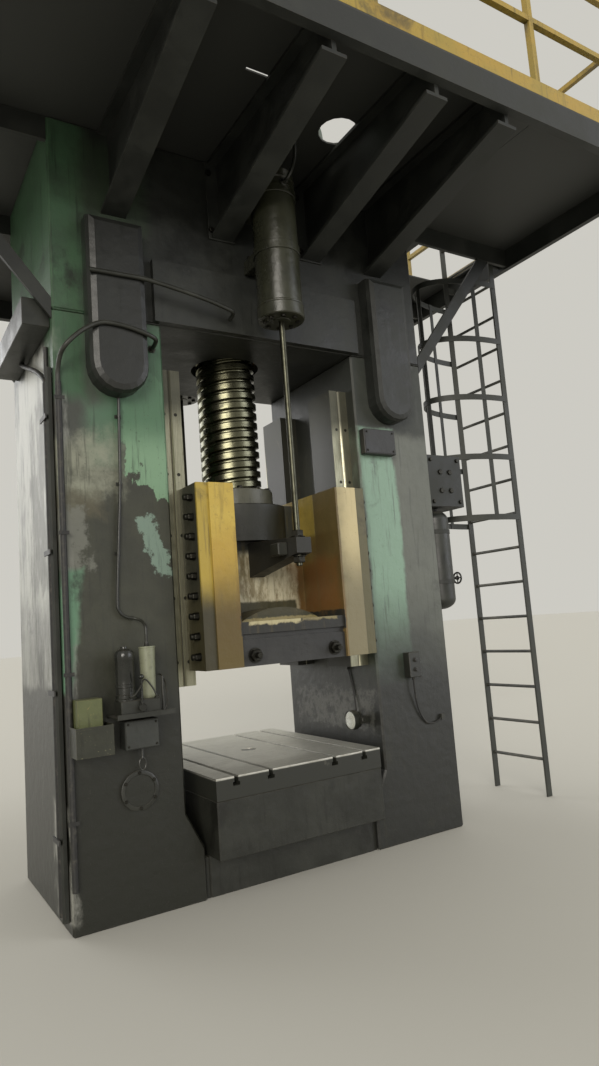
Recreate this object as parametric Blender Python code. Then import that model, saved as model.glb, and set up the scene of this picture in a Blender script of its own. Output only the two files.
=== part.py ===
"""Straight-sided forging press of the hydraulic screw kind.

A multi-start screw hangs in the crown and drives a nut in the slide, which runs on four
guide rails. Two lift cylinders on the crown carry the slide. A service platform with a
caged ladder surrounds the crown. Metres, +Z up, origin on the floor under the press centre.
"""
import math

import bmesh
import bpy
from mathutils import Matrix, Vector

# Clearances
SEAT = 0.0003
RUN = 0.0008
OVERRUN = 0.02
EMBED = 0.004
MERGE = 0.00001

# Frame: bed, uprights and crown
FRAME_HALF_X = 1.43
FRAME_HALF_Y = 0.62
DAYLIGHT_HALF = 0.75
CROWN_BOTTOM = 3.56
CROWN_HEIGHT = 1.25
CROWN_CHAMFER = 0.012
FOOT_REACH = 0.11
FOOT_RISE = 0.30
FOOT_SLOPE = 0.22
TIE_X = (DAYLIGHT_HALF + FRAME_HALF_X) / 2
TIE_Y = FRAME_HALF_Y - 0.24
TIE_R = 0.10
TIE_SIDES = 12
TIE_FOOT = 0.30
TIE_NUT_R = 0.17
TIE_NUT_HEIGHT = 0.15
TIE_STUB = 0.05
CROWN_BORE = 0.26
CROWN_PLATE_HALF = 0.80
CROWN_PLATE_HEIGHT = 0.42
CROWN_PLATE_THICK = 0.045
CROWN_TOP = CROWN_BOTTOM + CROWN_HEIGHT

# Bed and bolster
BED_HALF_X = 0.61
BED_HALF_Y = 0.757
PLINTH_HEIGHT = 0.24
PLINTH_HALF_Y = 0.60
BOLSTER_TOP = 0.71
BOLSTER_THICK = 0.13
SLOT_PITCH = 0.238
SLOT_MOUTH = 0.028
SLOT_NECK = 0.034
SLOT_HEAD = 0.048
SLOT_HEAD_HEIGHT = 0.022
BED_EDGE = 0.006

# Ejector in the bed
EJECT_R = 0.055
EJECT_PISTON_R = 0.095
EJECT_PISTON_Z = 0.14
EJECT_PISTON_HEIGHT = 0.06
EJECT_SINK = 0.004
EJECT_STROKE = 0.12
EJECT_STEPS = 20

# Bosses on the crown that carry the platform arms
BOSS_X = TIE_X - 0.03
BOSS_HALF_WIDTH = 0.18
BOSS_BOTTOM = 3.04
BOSS_TOP = 4.15
BOSS_DEPTH = 0.14
BOSS_EDGE = 0.045
BOSS_ARC_STEPS = 10

# Slide
SLIDE_BOTTOM = 1.345
SLIDE_TOP = 2.50
POST_INNER = 0.39
POST_OUTER = 0.56
POST_FRONT = 0.79
BODY_HALF = 0.585
RECESS_Y = 0.30
LEDGE_TOP = 1.62
LEDGE_BOTTOM = 1.545
LEDGE_FRONT = 0.775
GUIDE_Y = 0.52
HOUSING_R = 0.40
HOUSING_BOTTOM = 2.185
HOUSING_TOP = 2.45
SLIDE_BORE_FLOOR = 1.64

# Arched seat on the ledge of the slide
SEAT_HALF = 0.30
SEAT_RISE = 0.085
SEAT_FRONT = 0.60
SEAT_STEPS = 12

# Screw and nut
SCREW_R = 0.222
SCREW_ROOT = 0.196
SCREW_STARTS = 2
SCREW_PITCH = 0.075
SCREW_STEPS = 16
SCREW_BOTTOM = 2.10
SCREW_TOP = 3.62
THREAD_GAP = 0.0058
CREST_SHARE = 0.34
ROOT_SHARE = 0.30
SHANK_R = 0.19
COLLAR_R = 0.29
COLLAR_HEIGHT = 0.06
HUB_BORE = 0.15
CAP_R = 0.19
CAP_HEIGHT = 0.04
ROUND_STEPS = 24
LEAD = SCREW_STARTS * SCREW_PITCH
NUT_BOTTOM = 2.15
NUT_R = 0.262
FLANGE_R = 0.30
FLANGE_HEIGHT = 0.13
FLANGE_BOLTS = 12
FLANGE_BOLT_CIRCLE = 0.272
FLANGE_BOLT_R = 0.019
FLANGE_BOLT_HEIGHT = 0.022

# Bearing at the crown and the flywheel
BUSH_R = CROWN_BORE - SEAT
THRUST_HEIGHT = 0.04
THRUST_R = 0.32
HUB_R = 0.24
HUB_HEIGHT = 0.36
RIM_R = 0.84
RIM_WIDTH = 0.16
RIM_HEIGHT = 0.28
WEB_HEIGHT = 0.07
GUARD_GAP = 0.06
GUARD_WALL = 0.006
GUARD_HEIGHT = 0.55
GUARD_EYE_R = 0.22
GUARD_FOOT = 0.05

# Guide rails, liners and gibs
RAIL_WIDTH = 0.15
RAIL_DEPTH = 0.30
RAIL_BOTTOM = 1.25
RAIL_TOP = 3.30
RAIL_GROOVE = 0.012
LINER_INSET = 0.02
GIB_OUTER = 0.64
GIB_STEP = 0.012
GIB_BOLTS = 9
GIB_BOLT_R = 0.019
GIB_BOLT_LENGTH = 0.052
GIB_BOLT_Y = 0.70
GIB_BOLT_END = 0.085

# Die holder under the slide
HOLDER_FRONT = 0.77
HOLDER_LIP = 0.035
HOLDER_LIP_DEPTH = 0.015
CLAMP_X = 0.30
CLAMP_Z = 1.41
CLAMP_HEAD_R = 0.034
CLAMP_HEAD_LENGTH = 0.03
CLAMP_STUD_R = 0.017
CLAMP_STUD_LENGTH = 0.04

# Lift cylinders, rods and their arms on the slide
LIFT_Y = FRAME_HALF_Y + 0.27
BARREL_R = 0.15
BARREL_BORE = 0.115
BARREL_TOP = 4.62
GLAND_BOTTOM = 3.59
GLAND_HEIGHT = 0.09
GLAND_R = 0.158
BARREL_CAP = 0.05
BARREL_STEPS = 16
ROD_R = 0.020
PISTON_Z = 4.00
PISTON_HEIGHT = 0.08
SADDLE_HALF = 0.11
SADDLE_HEIGHT = 0.10
SADDLE_LOWS = (4.02, 4.42)
ARM_HALF = 0.055
ARM_ROOT_BOTTOM = 1.93
ARM_ROOT_TOP = 2.17
ARM_TIP_BOTTOM = 2.03
ARM_TIP_TOP = 2.13
ARM_END = LIFT_Y + 0.07
ROD_NUT_R = 0.042
ROD_NUT_HEIGHT = 0.04
ROD_TAIL = 0.02
SWITCH_SIZE = (0.07, 0.11, 0.08)
SWITCH_EDGE = 0.006

# Platform
DECK_HALF_X = 2.66
DECK_HALF_Y = 2.12
DECK_THICK = 0.012
DECK_JOINT = 0.004
DECK_SPLIT_X = FRAME_HALF_X + 0.03
SLIT_XS = (-0.49, -0.12)
SLIT_YS = (-1.51, -1.49)
ARM_XS = (-1.03, -0.27, 0.45, 1.03)
ARM_FLANGE = 0.16
ARM_WEB = 0.03
ARM_FLANGE_THICK = 0.022
ARM_ROOT_Z = 4.24
ARM_TIP_Z = 4.55
ARM_FREE_END = DECK_HALF_Y - 0.06
EDGE_BEAM_HEIGHT = 0.18
EDGE_BEAM_THICK = 0.05
SIDE_ARM_Y = 0.60
SIDE_ARM_THICK = 0.03
SIDE_ARM_HEIGHT = 0.16
BRACE_LOW = 3.50
BRACE_REACH = DECK_HALF_X - FRAME_HALF_X - 0.28
BRACE_WIDTH = 0.13
HATCH_X0 = FRAME_HALF_X + 0.37
HATCH_X1 = DECK_HALF_X - 0.10
HATCH_HALF = 0.36
PORT_X = 0.31
PORT_Y = -1.28
PORT_R = 0.13
PORT_STEPS = 16
DRIVE_HOLE_R = 0.45
TIE_HOLE_R = 0.19
RAILING_HEIGHT = 1.05
RAILING_HALF = 0.02
RAILING_MIDDLE = 0.55
RAILING_BAYS_X = 4
RAILING_BAYS_Y = 3
TOE_HEIGHT = 0.10
TOE_THICK = 0.006
TOE_WELD = 0.001

# Ladder and its cage
LADDER_X = DECK_HALF_X - 0.16
LADDER_Y = -0.232
LADDER_HALF = 0.288
STRINGER_DEEP = 0.055
STRINGER_THICK = 0.016
LADDER_TOP = 5.80
RUNG_R = 0.013
RUNG_PITCH = 0.30
RUNG_FIRST = 0.30
RUNG_SIDES = 6
HOOP_ZS = (2.36, 2.89, 3.42, 3.95, 4.48)
HOOP_DEPTH = LADDER_X - FRAME_HALF_X - 0.45
HOOP_BAND = 0.05
HOOP_TAB = 0.03
HOOP_THICK = 0.006
HOOP_STEPS = 13
CAGE_PLACES = (1, 3, 6, 9, 11)
CAGE_BAR_THICK = 0.006
CAGE_BAR_WIDTH = 0.04
STANDOFF_Z = 4.70
STANDOFF_HALF = 0.03

# Lubricator group on the left upright
SHELF_X0 = -1.20
SHELF_X1 = -0.86
SHELF_Z = 1.145
SHELF_THICK = 0.012
SHELF_DEPTH = 0.20
SHELF_LIP = 0.015
PUMP_X = -1.12
PUMP_R = 0.055
PUMP_HEIGHT = 0.30
PUMP_Y_OFF = 0.11
CUP_X = -0.985
CUP_R = 0.047
CUP_HEIGHT = 0.27
CUP_NECK_R = 0.02
CUP_NECK_HEIGHT = 0.05
STAND_R = 0.008
STAND_X = -0.90
STAND_HEIGHT = 0.20
VALVE_X0 = -1.17
VALVE_X1 = -0.94
VALVE_HEIGHT = 0.085
BOX_X0 = -1.13
BOX_X1 = -0.93
BOX_Z0 = 0.95
BOX_HEIGHT = 0.16
BOX_DEPTH = 0.10
VALVE_DEPTH = 0.14
PUMP_FOOT = 0.03
PUMP_FOOT_R = 0.062
PUMP_SHOULDER = 0.03
LEVER_R = 0.007
LEVER_LENGTH = 0.17
LEVER_KNOB_R = 0.014
LEVER_BOSS_R = 0.02
LEVER_BOSS_LENGTH = 0.03
LEVER_PIN_R = 0.008
LEVER_PIN_LENGTH = 0.03
LEVER_SIDES = 8

# Tray on the left upright
TRAY_X0 = -1.42
TRAY_X1 = -1.215
TRAY_Z = 0.955
TRAY_HEIGHT = 0.155
TRAY_DEPTH = 0.17
TRAY_WALL = 0.004
PACK_X0 = -1.395
PACK_X1 = -1.255
PACK_HEIGHT = 0.30
PACK_DEPTH = 0.11

# Round cover on the left upright
COVER_X = -1.03
COVER_Z = 0.705
COVER_R = 0.112
COVER_THICK = 0.014
COVER_STEPS = 24
COVER_EDGE = 0.004

# Pieces on the right upright
LEDGE_BOX_X0 = 0.77
LEDGE_BOX_X1 = 1.06
LEDGE_BOX_Z0 = 2.79
LEDGE_BOX_HEIGHT = 0.19
LEDGE_BOX_DEPTH = 0.06
SWITCH_X0 = 0.995
SWITCH_X1 = 1.10
SWITCH_Z0 = 1.135
SWITCH_HEIGHT = 0.18
SWITCH_DEPTH = 0.07

# Accumulator on the right side
TANK_X = FRAME_HALF_X + 0.14
TANK_Y = 0.16 - FRAME_HALF_Y
TANK_R = 0.115
TANK_BOTTOM = 1.61
TANK_TOP = 2.40
TANK_NECK_R = 0.03
TANK_NECK = 0.018
TANK_ARCS = (0, 30, 60, 90)
DOME_SHARE = 0.7
STRAP_HALF = 0.06
STRAP_HEIGHT = 0.05
STRAP_ZS = (1.80, 2.20)
MANIFOLD_X1 = FRAME_HALF_X + 0.36
MANIFOLD_Y0 = 0.02 - FRAME_HALF_Y
MANIFOLD_Y1 = 0.38 - FRAME_HALF_Y
MANIFOLD_HEIGHT = 0.42
WHEEL_R = 0.05
WHEEL_TUBE = 0.007
WHEEL_STEM_R = 0.012
WHEEL_STEM = 0.06
WHEEL_Z = 1.855
WHEEL_STEPS = 16
SPOKE_HALF = 0.005
VALVE_BODY = 0.03
VALVE_BODY_R = 0.024

# Work lamp in the daylight
LAMP_Y = -0.40
LAMP_Z = 0.86
LAMP_R = 0.07
LAMP_LENGTH = 0.085
LAMP_REACH = 0.055
LAMP_EAR = 0.018
LAMP_GAP = 0.004
LAMP_BAND = 0.045
LAMP_TAIL = 0.03
LAMP_BACK_R = 0.045
LAMP_RIM = 0.008
LAMP_PIVOT_R = 0.009
LAMP_BASE_THICK = 0.010

# Pipes and cables
OIL_R = 0.009
OIL_ROUTE = ((-1.056, 3.03), (-1.069, 2.52), (-1.119, 1.80), (-1.065, 1.70), (-1.0, 1.675))
OIL_RISE = 0.03
OIL_CLIP = 0.012
CONDUIT_R = 0.021
CONDUIT_Y = 0.045 - FRAME_HALF_Y
CONDUIT_LOW = 0.08
CONDUIT_HIGH = 3.20
PIPE_R = 0.014
BOSS_ROUTE = ((-1.40, 3.27), (-1.32, 3.36), (-1.16, 3.45), (-0.92, 3.42))
CROWN_ROUTE = ((-1.24, 3.77), (-0.87, 3.77), (-0.53, 3.72), (-0.29, 3.66))
DUCT_WIDTH = 0.16
DUCT_Z0 = 3.46
DUCT_HEIGHT = 0.17
DUCT_FRONT = FRAME_HALF_Y - 0.06
DUCT_BACK = 0.45
PIPE_STEP = 3


def clear_scene():
    """Removes every object, mesh and material."""
    for item in list(bpy.data.objects):
        bpy.data.objects.remove(item, do_unlink=True)


def paint(name, colour, rough, metal=0.0):
    """Returns a plain Principled material."""
    mat = bpy.data.materials.get(name) or bpy.data.materials.new(name)
    mat.use_nodes = True
    shader = mat.node_tree.nodes["Principled BSDF"]
    shader.inputs["Base Color"].default_value = (*colour, 1.0)
    shader.inputs["Roughness"].default_value = rough
    shader.inputs["Metallic"].default_value = metal
    mat.diffuse_color = (*colour, 1.0)
    return mat


GREEN = ("green machine paint", (0.13, 0.19, 0.15), 0.55)
YELLOW = ("yellow machine paint", (0.62, 0.44, 0.10), 0.5)
STEEL = ("ground steel", (0.45, 0.45, 0.44), 0.3, 1.0)
OILED = ("oiled steel", (0.22, 0.22, 0.19), 0.35, 1.0)
DARK = ("dark oily steel", (0.06, 0.06, 0.055), 0.5, 0.6)
BRONZE = ("bronze", (0.42, 0.27, 0.12), 0.4, 1.0)
GREY = ("grey paint", (0.30, 0.31, 0.30), 0.55)
CREAM = ("cream enamel", (0.66, 0.62, 0.47), 0.4)
GLASS = ("frosted glass", (0.85, 0.86, 0.82), 0.3)


def finish(name, bm, look, owner=None, sharp=35.0):
    """Makes the object of a sub-part from its mesh, with its own material."""
    bmesh.ops.recalc_face_normals(bm, faces=bm.faces)
    mesh = bpy.data.meshes.new(name)
    bm.to_mesh(mesh)
    bm.free()
    mesh.shade_smooth()
    mesh.set_sharp_from_angle(angle=math.radians(sharp))
    item = bpy.data.objects.new(name, mesh)
    bpy.context.scene.collection.objects.link(item)
    item.data.materials.append(paint(f"{name} {look[0]}", *look[1:]))
    if owner is not None:
        item.parent = owner
        item.matrix_parent_inverse = owner.matrix_world.inverted()
    return item


def axis_empty(name, place):
    """An empty on a joint's axis that carries the moving pieces."""
    empty = bpy.data.objects.new(name, None)
    empty.location = place
    bpy.context.scene.collection.objects.link(empty)
    bpy.context.view_layer.update()
    return empty


def block(bm, low, high):
    """Adds a box between two corners."""
    low, high = Vector(low), Vector(high)
    size = high - low
    place = Matrix.Translation((low + high) / 2) @ Matrix.Diagonal((*size, 1.0))
    return bmesh.ops.create_cube(bm, size=1.0, matrix=place)["verts"]


def turn_to(axis):
    """Matrix that turns +Z to an axis."""
    return Vector((0, 0, 1)).rotation_difference(Vector(axis)).to_matrix().to_4x4()


def rod(bm, radius, start, end, sides):
    """Adds a round or hexagonal bar between two points."""
    start, end = Vector(start), Vector(end)
    run = end - start
    place = Matrix.Translation((start + end) / 2) @ turn_to(run.normalized())
    bmesh.ops.create_cone(bm, cap_ends=True, cap_tris=False, segments=sides, radius1=radius,
                          radius2=radius, depth=run.length, matrix=place)


def turned(bm, profile, centre, steps, axis=(0, 0, 1), closed=True):
    """Spins a profile of (radius, height) points about an axis through a centre."""
    verts = [bm.verts.new((r, 0, z)) for r, z in profile]
    pairs = list(zip(verts, verts[1:]))
    if closed:
        pairs.append((verts[-1], verts[0]))
    edges = [bm.edges.new(pair) for pair in pairs]
    before = set(bm.verts) - set(verts)
    bmesh.ops.spin(bm, geom=verts + edges, cent=(0, 0, 0), axis=(0, 0, 1), angle=math.tau,
                   steps=steps, use_merge=True, use_duplicate=False)
    made = [v for v in bm.verts if v not in before]
    bmesh.ops.remove_doubles(bm, verts=made, dist=MERGE)
    made = [v for v in bm.verts if v not in before]
    bmesh.ops.transform(bm, matrix=Matrix.Translation(centre) @ turn_to(axis), verts=made)


def ring(bm, inner, outer, low, high, centre, steps):
    """Adds a plain ring between two heights."""
    turned(bm, [(inner, low), (outer, low), (outer, high), (inner, high)], centre, steps)


def prism(bm, outline, start, end, plane="XY"):
    """Extrudes a closed outline along the axis that its plane leaves free."""
    spots = {"XY": lambda a, b: (a, b, start), "XZ": lambda a, b: (a, start, b),
             "YZ": lambda a, b: (start, a, b)}[plane]
    shift = {"XY": (0, 0, end - start), "XZ": (0, end - start, 0), "YZ": (end - start, 0, 0)}[plane]
    face = bm.faces.new([bm.verts.new(spots(a, b)) for a, b in outline])
    moved = bmesh.ops.extrude_face_region(bm, geom=[face])["geom"]
    tops = [g for g in moved if isinstance(g, bmesh.types.BMVert)]
    bmesh.ops.translate(bm, vec=shift, verts=tops)
    return tops


def arc(radius, start, end, steps, centre=(0, 0)):
    """Points along an arc, in degrees."""
    turns = [math.radians(start + (end - start) * i / steps) for i in range(steps + 1)]
    return [(centre[0] + radius * math.cos(t), centre[1] + radius * math.sin(t)) for t in turns]


def soften(item, width, angle=60.0):
    """Adds one bevel on the sharp edges."""
    mod = item.modifiers.new("edge", "BEVEL")
    mod.width = width
    mod.segments = 1
    mod.limit_method = "ANGLE"
    mod.angle_limit = math.radians(angle)
    return item


def combine(item, tool_mesh, name, operation="DIFFERENCE"):
    """Cuts or joins a hidden tool solid with a sub-part."""
    bmesh.ops.recalc_face_normals(tool_mesh, faces=tool_mesh.faces)
    mesh = bpy.data.meshes.new(name)
    tool_mesh.to_mesh(mesh)
    tool_mesh.free()
    tool = bpy.data.objects.new(name, mesh)
    bpy.context.scene.collection.objects.link(tool)
    tool.hide_render = True
    tool.display_type = "WIRE"
    if item.parent is not None:
        tool.parent = item.parent
        tool.matrix_parent_inverse = item.parent.matrix_world.inverted()
    mod = item.modifiers.new(name, "BOOLEAN")
    mod.operation = operation
    mod.solver = "EXACT"
    mod.object = tool
    return item


def smooth_route(points, per_leg):
    """Reads points from a smooth curve through the route's own points."""
    route = [Vector(p) for p in points]
    ends = [2 * route[0] - route[1], *route, 2 * route[-1] - route[-2]]
    spots = []
    for i in range(len(route) - 1):
        a, b, c, d = ends[i:i + 4]
        for j in range(per_leg):
            t = j / per_leg
            spots.append(0.5 * (2 * b + (c - a) * t + (2 * a - 5 * b + 4 * c - d) * t * t
                                + (3 * b - a - 3 * c + d) * t ** 3))
    spots.append(route[-1])
    return spots


def pipe(name, points, radius, look, per_leg=PIPE_STEP):
    """A round pipe along a smooth route."""
    curve = bpy.data.curves.new(name, "CURVE")
    curve.dimensions = "3D"
    curve.bevel_depth = radius
    curve.bevel_resolution = 1
    curve.use_fill_caps = True
    spots = smooth_route(points, per_leg)
    spline = curve.splines.new("POLY")
    spline.points.add(len(spots) - 1)
    for point, spot in zip(spline.points, spots):
        point.co = (*spot, 1.0)
    item = bpy.data.objects.new(name, curve)
    bpy.context.scene.collection.objects.link(item)
    curve.materials.append(paint(f"{name} {look[0]}", *look[1:]))
    return item


def thread_mesh(crest, root, bottom, top, grow=0.0):
    """Helical multi-start thread between two heights, closed by flat ends.

    The profile of one pitch is a root flat, a flank, a crest flat and a flank. It is turned
    one lead per revolution by a screw sweep, and two planes cut the ends square.
    """
    flank = (1 - CREST_SHARE - ROOT_SHARE) / 2
    crest_half = (CREST_SHARE * SCREW_PITCH) / 2 + grow
    root_half = (ROOT_SHARE * SCREW_PITCH) / 2 - grow
    rise = flank * SCREW_PITCH
    offsets = [(root, -root_half), (root, root_half), (crest, root_half + rise),
               (crest, root_half + rise + 2 * crest_half)]
    turns = math.ceil((top - bottom) / LEAD) + 3
    low = LEAD * (math.floor(bottom / LEAD) - 1)
    rows = turns * SCREW_STARTS * len(offsets)
    jump = SCREW_STARTS * len(offsets)
    bm = bmesh.new()
    columns = []
    for j in range(SCREW_STEPS):
        angle = math.tau * j / SCREW_STEPS
        column = []
        for k in range(rows + 1):
            lap, place = divmod(k, len(offsets))
            radius, lift = offsets[place]
            z = low + lap * SCREW_PITCH + lift + LEAD * j / SCREW_STEPS
            column.append(bm.verts.new((radius * math.cos(angle), radius * math.sin(angle), z)))
        columns.append(column)
    for j, near in enumerate(columns):
        far = columns[(j + 1) % SCREW_STEPS]
        skip = jump if j == SCREW_STEPS - 1 else 0
        for k in range(rows - skip):
            bm.faces.new((near[k], far[k + skip], far[k + skip + 1], near[k + 1]))
    for height, side in ((bottom, -1), (top, 1)):
        bmesh.ops.bisect_plane(bm, geom=bm.verts[:] + bm.edges[:] + bm.faces[:], dist=MERGE,
                               plane_co=(0, 0, height), plane_no=(0, 0, side), clear_outer=True)
        rim = [e for e in bm.edges if e.is_boundary and all(abs(v.co.z - height) < RUN for v in e.verts)]
        bmesh.ops.holes_fill(bm, edges=rim, sides=0)
    return bm


def play(radius, steps, gap=RUN):
    """Radius of a bore in which a turning pin of that radius keeps its clearance."""
    return (radius + gap) / math.cos(math.pi / steps)


def mirrored():
    """The four corners of the press, as pairs of signs."""
    return [(sx, sy) for sy in (-1, 1) for sx in (-1, 1)]


def corner(sx, sy):
    """Name of a corner of the press."""
    return ("front" if sy < 0 else "rear") + ("_left" if sx < 0 else "_right")


def span(a, b):
    """The two numbers in rising order."""
    return (a, b) if a < b else (b, a)


def boxed(bm, xs, ys, zs):
    """Adds a box from three pairs of limits in any order."""
    xs, ys, zs = span(*xs), span(*ys), span(*zs)
    return block(bm, (xs[0], ys[0], zs[0]), (xs[1], ys[1], zs[1]))


# Frame

def build_uprights():
    """Left and right uprights with the foot that widens under the bed, bored for tie rods."""
    foot_inner = DAYLIGHT_HALF - FOOT_REACH
    for side, name in ((-1, "left_upright"), (1, "right_upright")):
        outline = [(FRAME_HALF_X, 0), (FRAME_HALF_X, CROWN_BOTTOM - SEAT),
                   (DAYLIGHT_HALF, CROWN_BOTTOM - SEAT), (DAYLIGHT_HALF, FOOT_RISE + FOOT_SLOPE),
                   (foot_inner, FOOT_RISE), (foot_inner, 0)]
        bm = bmesh.new()
        prism(bm, [(side * x, z) for x, z in outline], -FRAME_HALF_Y, FRAME_HALF_Y, "XZ")
        item = soften(finish(name, bm, GREEN), CROWN_CHAMFER)
        tools = bmesh.new()
        for sy in (1, -1):
            rod(tools, TIE_R + SEAT, (side * TIE_X, sy * TIE_Y, TIE_FOOT - SEAT),
                (side * TIE_X, sy * TIE_Y, CROWN_BOTTOM + OVERRUN), TIE_SIDES)
        combine(item, tools, f"{name}_bores")
        if side < 0:
            cover = bmesh.new()
            rod(cover, COVER_R, (COVER_X, EMBED - FRAME_HALF_Y, COVER_Z),
                (COVER_X, -FRAME_HALF_Y - COVER_THICK, COVER_Z), COVER_STEPS)
            combine(item, cover, "round_cover", "UNION")


def build_crown():
    """Crown beam with its bosses and face plates, the screw's bore and the tie-rod bores."""
    bm = bmesh.new()
    boxed(bm, (-FRAME_HALF_X, FRAME_HALF_X), (-FRAME_HALF_Y, FRAME_HALF_Y), (CROWN_BOTTOM, CROWN_TOP))
    item = soften(finish("crown", bm, GREEN), CROWN_CHAMFER)
    combine(item, boss_tools(), "crown_bosses", "UNION")
    plates = bmesh.new()
    for sy in (-1, 1):
        boxed(plates, (-CROWN_PLATE_HALF, CROWN_PLATE_HALF),
              (sy * (FRAME_HALF_Y - EMBED), sy * (FRAME_HALF_Y + CROWN_PLATE_THICK)),
              (CROWN_BOTTOM + EMBED, CROWN_BOTTOM + CROWN_PLATE_HEIGHT))
    combine(item, plates, "crown_face_plates", "UNION")
    tools = bmesh.new()
    rod(tools, CROWN_BORE, (0, 0, CROWN_BOTTOM - OVERRUN), (0, 0, CROWN_TOP + OVERRUN), ROUND_STEPS)
    for sx, sy in mirrored():
        rod(tools, TIE_R + SEAT, (sx * TIE_X, sy * TIE_Y, CROWN_BOTTOM),
            (sx * TIE_X, sy * TIE_Y, CROWN_TOP + OVERRUN), TIE_SIDES)
    combine(item, tools, "crown_bores")
    tools = bmesh.new()
    reach = FRAME_HALF_Y + SEAT
    for sx in (-1, 1):
        boxed(tools, (sx * (DAYLIGHT_HALF - OVERRUN), sx * (FRAME_HALF_X + OVERRUN)), (-reach, reach),
              (BOSS_BOTTOM - OVERRUN, CROWN_BOTTOM))
    combine(item, tools, "upright_clearance")


def build_tie_rods():
    """Four tie rods through crown and uprights, each with its nut."""
    low = CROWN_TOP + SEAT
    top = low + TIE_NUT_HEIGHT
    for sx, sy in mirrored():
        x, y = sx * TIE_X, sy * TIE_Y
        bm = bmesh.new()
        rod(bm, TIE_R, (x, y, TIE_FOOT), (x, y, top + TIE_STUB), TIE_SIDES)
        item = finish(f"tie_rod_{corner(sx, sy)}", bm, STEEL)
        nut = bmesh.new()
        rod(nut, TIE_NUT_R, (x, y, low), (x, y, top), 6)
        combine(item, nut, f"tie_nut_{corner(sx, sy)}", "UNION")


def boss_tools():
    """Round-ended bosses on the front and rear, their outer rims rounded over."""
    bm = bmesh.new()
    for sx, sy in mirrored():
        centre = (sx * BOSS_X, BOSS_BOTTOM + BOSS_HALF_WIDTH)
        outline = arc(BOSS_HALF_WIDTH, 180, 360, BOSS_ARC_STEPS, centre)
        outline += [(centre[0] + BOSS_HALF_WIDTH, BOSS_TOP), (centre[0] - BOSS_HALF_WIDTH, BOSS_TOP)]
        far = set(prism(bm, outline, sy * (FRAME_HALF_Y - EMBED), sy * (FRAME_HALF_Y + BOSS_DEPTH), "XZ"))
        rim = [e for e in bm.edges if far.issuperset(e.verts)]
        bmesh.ops.bevel(bm, geom=rim, offset=BOSS_EDGE, segments=2, profile=0.5, affect="EDGES")
    return bm


def build_bed():
    """Bed block on its plinth, bored for the ejector."""
    bm = bmesh.new()
    plinth_x = DAYLIGHT_HALF - FOOT_REACH - SEAT
    top = BOLSTER_TOP - BOLSTER_THICK - SEAT
    outline = [(-PLINTH_HALF_Y, 0), (PLINTH_HALF_Y, 0), (PLINTH_HALF_Y, PLINTH_HEIGHT),
               (BED_HALF_Y, PLINTH_HEIGHT), (BED_HALF_Y, top), (-BED_HALF_Y, top),
               (-BED_HALF_Y, PLINTH_HEIGHT), (-PLINTH_HALF_Y, PLINTH_HEIGHT)]
    prism(bm, outline, -BED_HALF_X, BED_HALF_X, "YZ")
    item = soften(finish("bed", bm, GREEN), BED_EDGE)
    wings = bmesh.new()
    boxed(wings, (-plinth_x, plinth_x), (-PLINTH_HALF_Y + BED_EDGE * 2, PLINTH_HALF_Y - BED_EDGE * 2),
          (0, PLINTH_HEIGHT - BED_EDGE))
    combine(item, wings, "bed_wings", "UNION")
    tools = bmesh.new()
    floor = EJECT_PISTON_Z - SEAT
    roof = EJECT_PISTON_Z + EJECT_PISTON_HEIGHT + EJECT_STROKE + OVERRUN
    turned(tools, [(0, floor), (EJECT_PISTON_R + RUN, floor), (EJECT_PISTON_R + RUN, roof),
                   (EJECT_R + RUN, roof), (EJECT_R + RUN, top + OVERRUN), (0, top + OVERRUN)],
           (0, 0, 0), EJECT_STEPS, closed=False)
    combine(item, tools, "bed_bore")


def slot_outline():
    """Front outline of the bolster with its T-slots, from left to right along the top."""
    low, top = BOLSTER_TOP - BOLSTER_THICK, BOLSTER_TOP
    head = top - SLOT_NECK - SLOT_HEAD_HEIGHT
    points = [(-BED_HALF_X, low), (-BED_HALF_X, top)]
    for k in (-2, -1, 1, 2):
        x = k * SLOT_PITCH
        points += [(x - SLOT_MOUTH / 2, top), (x - SLOT_MOUTH / 2, top - SLOT_NECK),
                   (x - SLOT_HEAD / 2, top - SLOT_NECK), (x - SLOT_HEAD / 2, head),
                   (x + SLOT_HEAD / 2, head), (x + SLOT_HEAD / 2, top - SLOT_NECK),
                   (x + SLOT_MOUTH / 2, top - SLOT_NECK), (x + SLOT_MOUTH / 2, top)]
    return points + [(BED_HALF_X, top), (BED_HALF_X, low)]


def build_bolster():
    """Bolster plate with T-slots from front to back and the ejector hole."""
    bm = bmesh.new()
    prism(bm, slot_outline(), -BED_HALF_Y, BED_HALF_Y, "XZ")
    item = finish("bolster", bm, STEEL)
    tools = bmesh.new()
    rod(tools, EJECT_R + RUN, (0, 0, BOLSTER_TOP - BOLSTER_THICK - OVERRUN),
        (0, 0, BOLSTER_TOP + OVERRUN), EJECT_STEPS)
    combine(item, tools, "bolster_bore")


def build_ejector():
    """Ejector pin with its piston, in the bed."""
    owner = axis_empty("ejector_axis", (0, 0, EJECT_PISTON_Z))
    bm = bmesh.new()
    top = EJECT_PISTON_Z + EJECT_PISTON_HEIGHT
    turned(bm, [(0, EJECT_PISTON_Z), (EJECT_PISTON_R, EJECT_PISTON_Z), (EJECT_PISTON_R, top),
                (EJECT_R, top), (EJECT_R, BOLSTER_TOP - EJECT_SINK), (0, BOLSTER_TOP - EJECT_SINK)],
           (0, 0, 0), EJECT_STEPS, closed=False)
    finish("ejector_pin", bm, STEEL, owner)


# Screw drive

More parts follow.
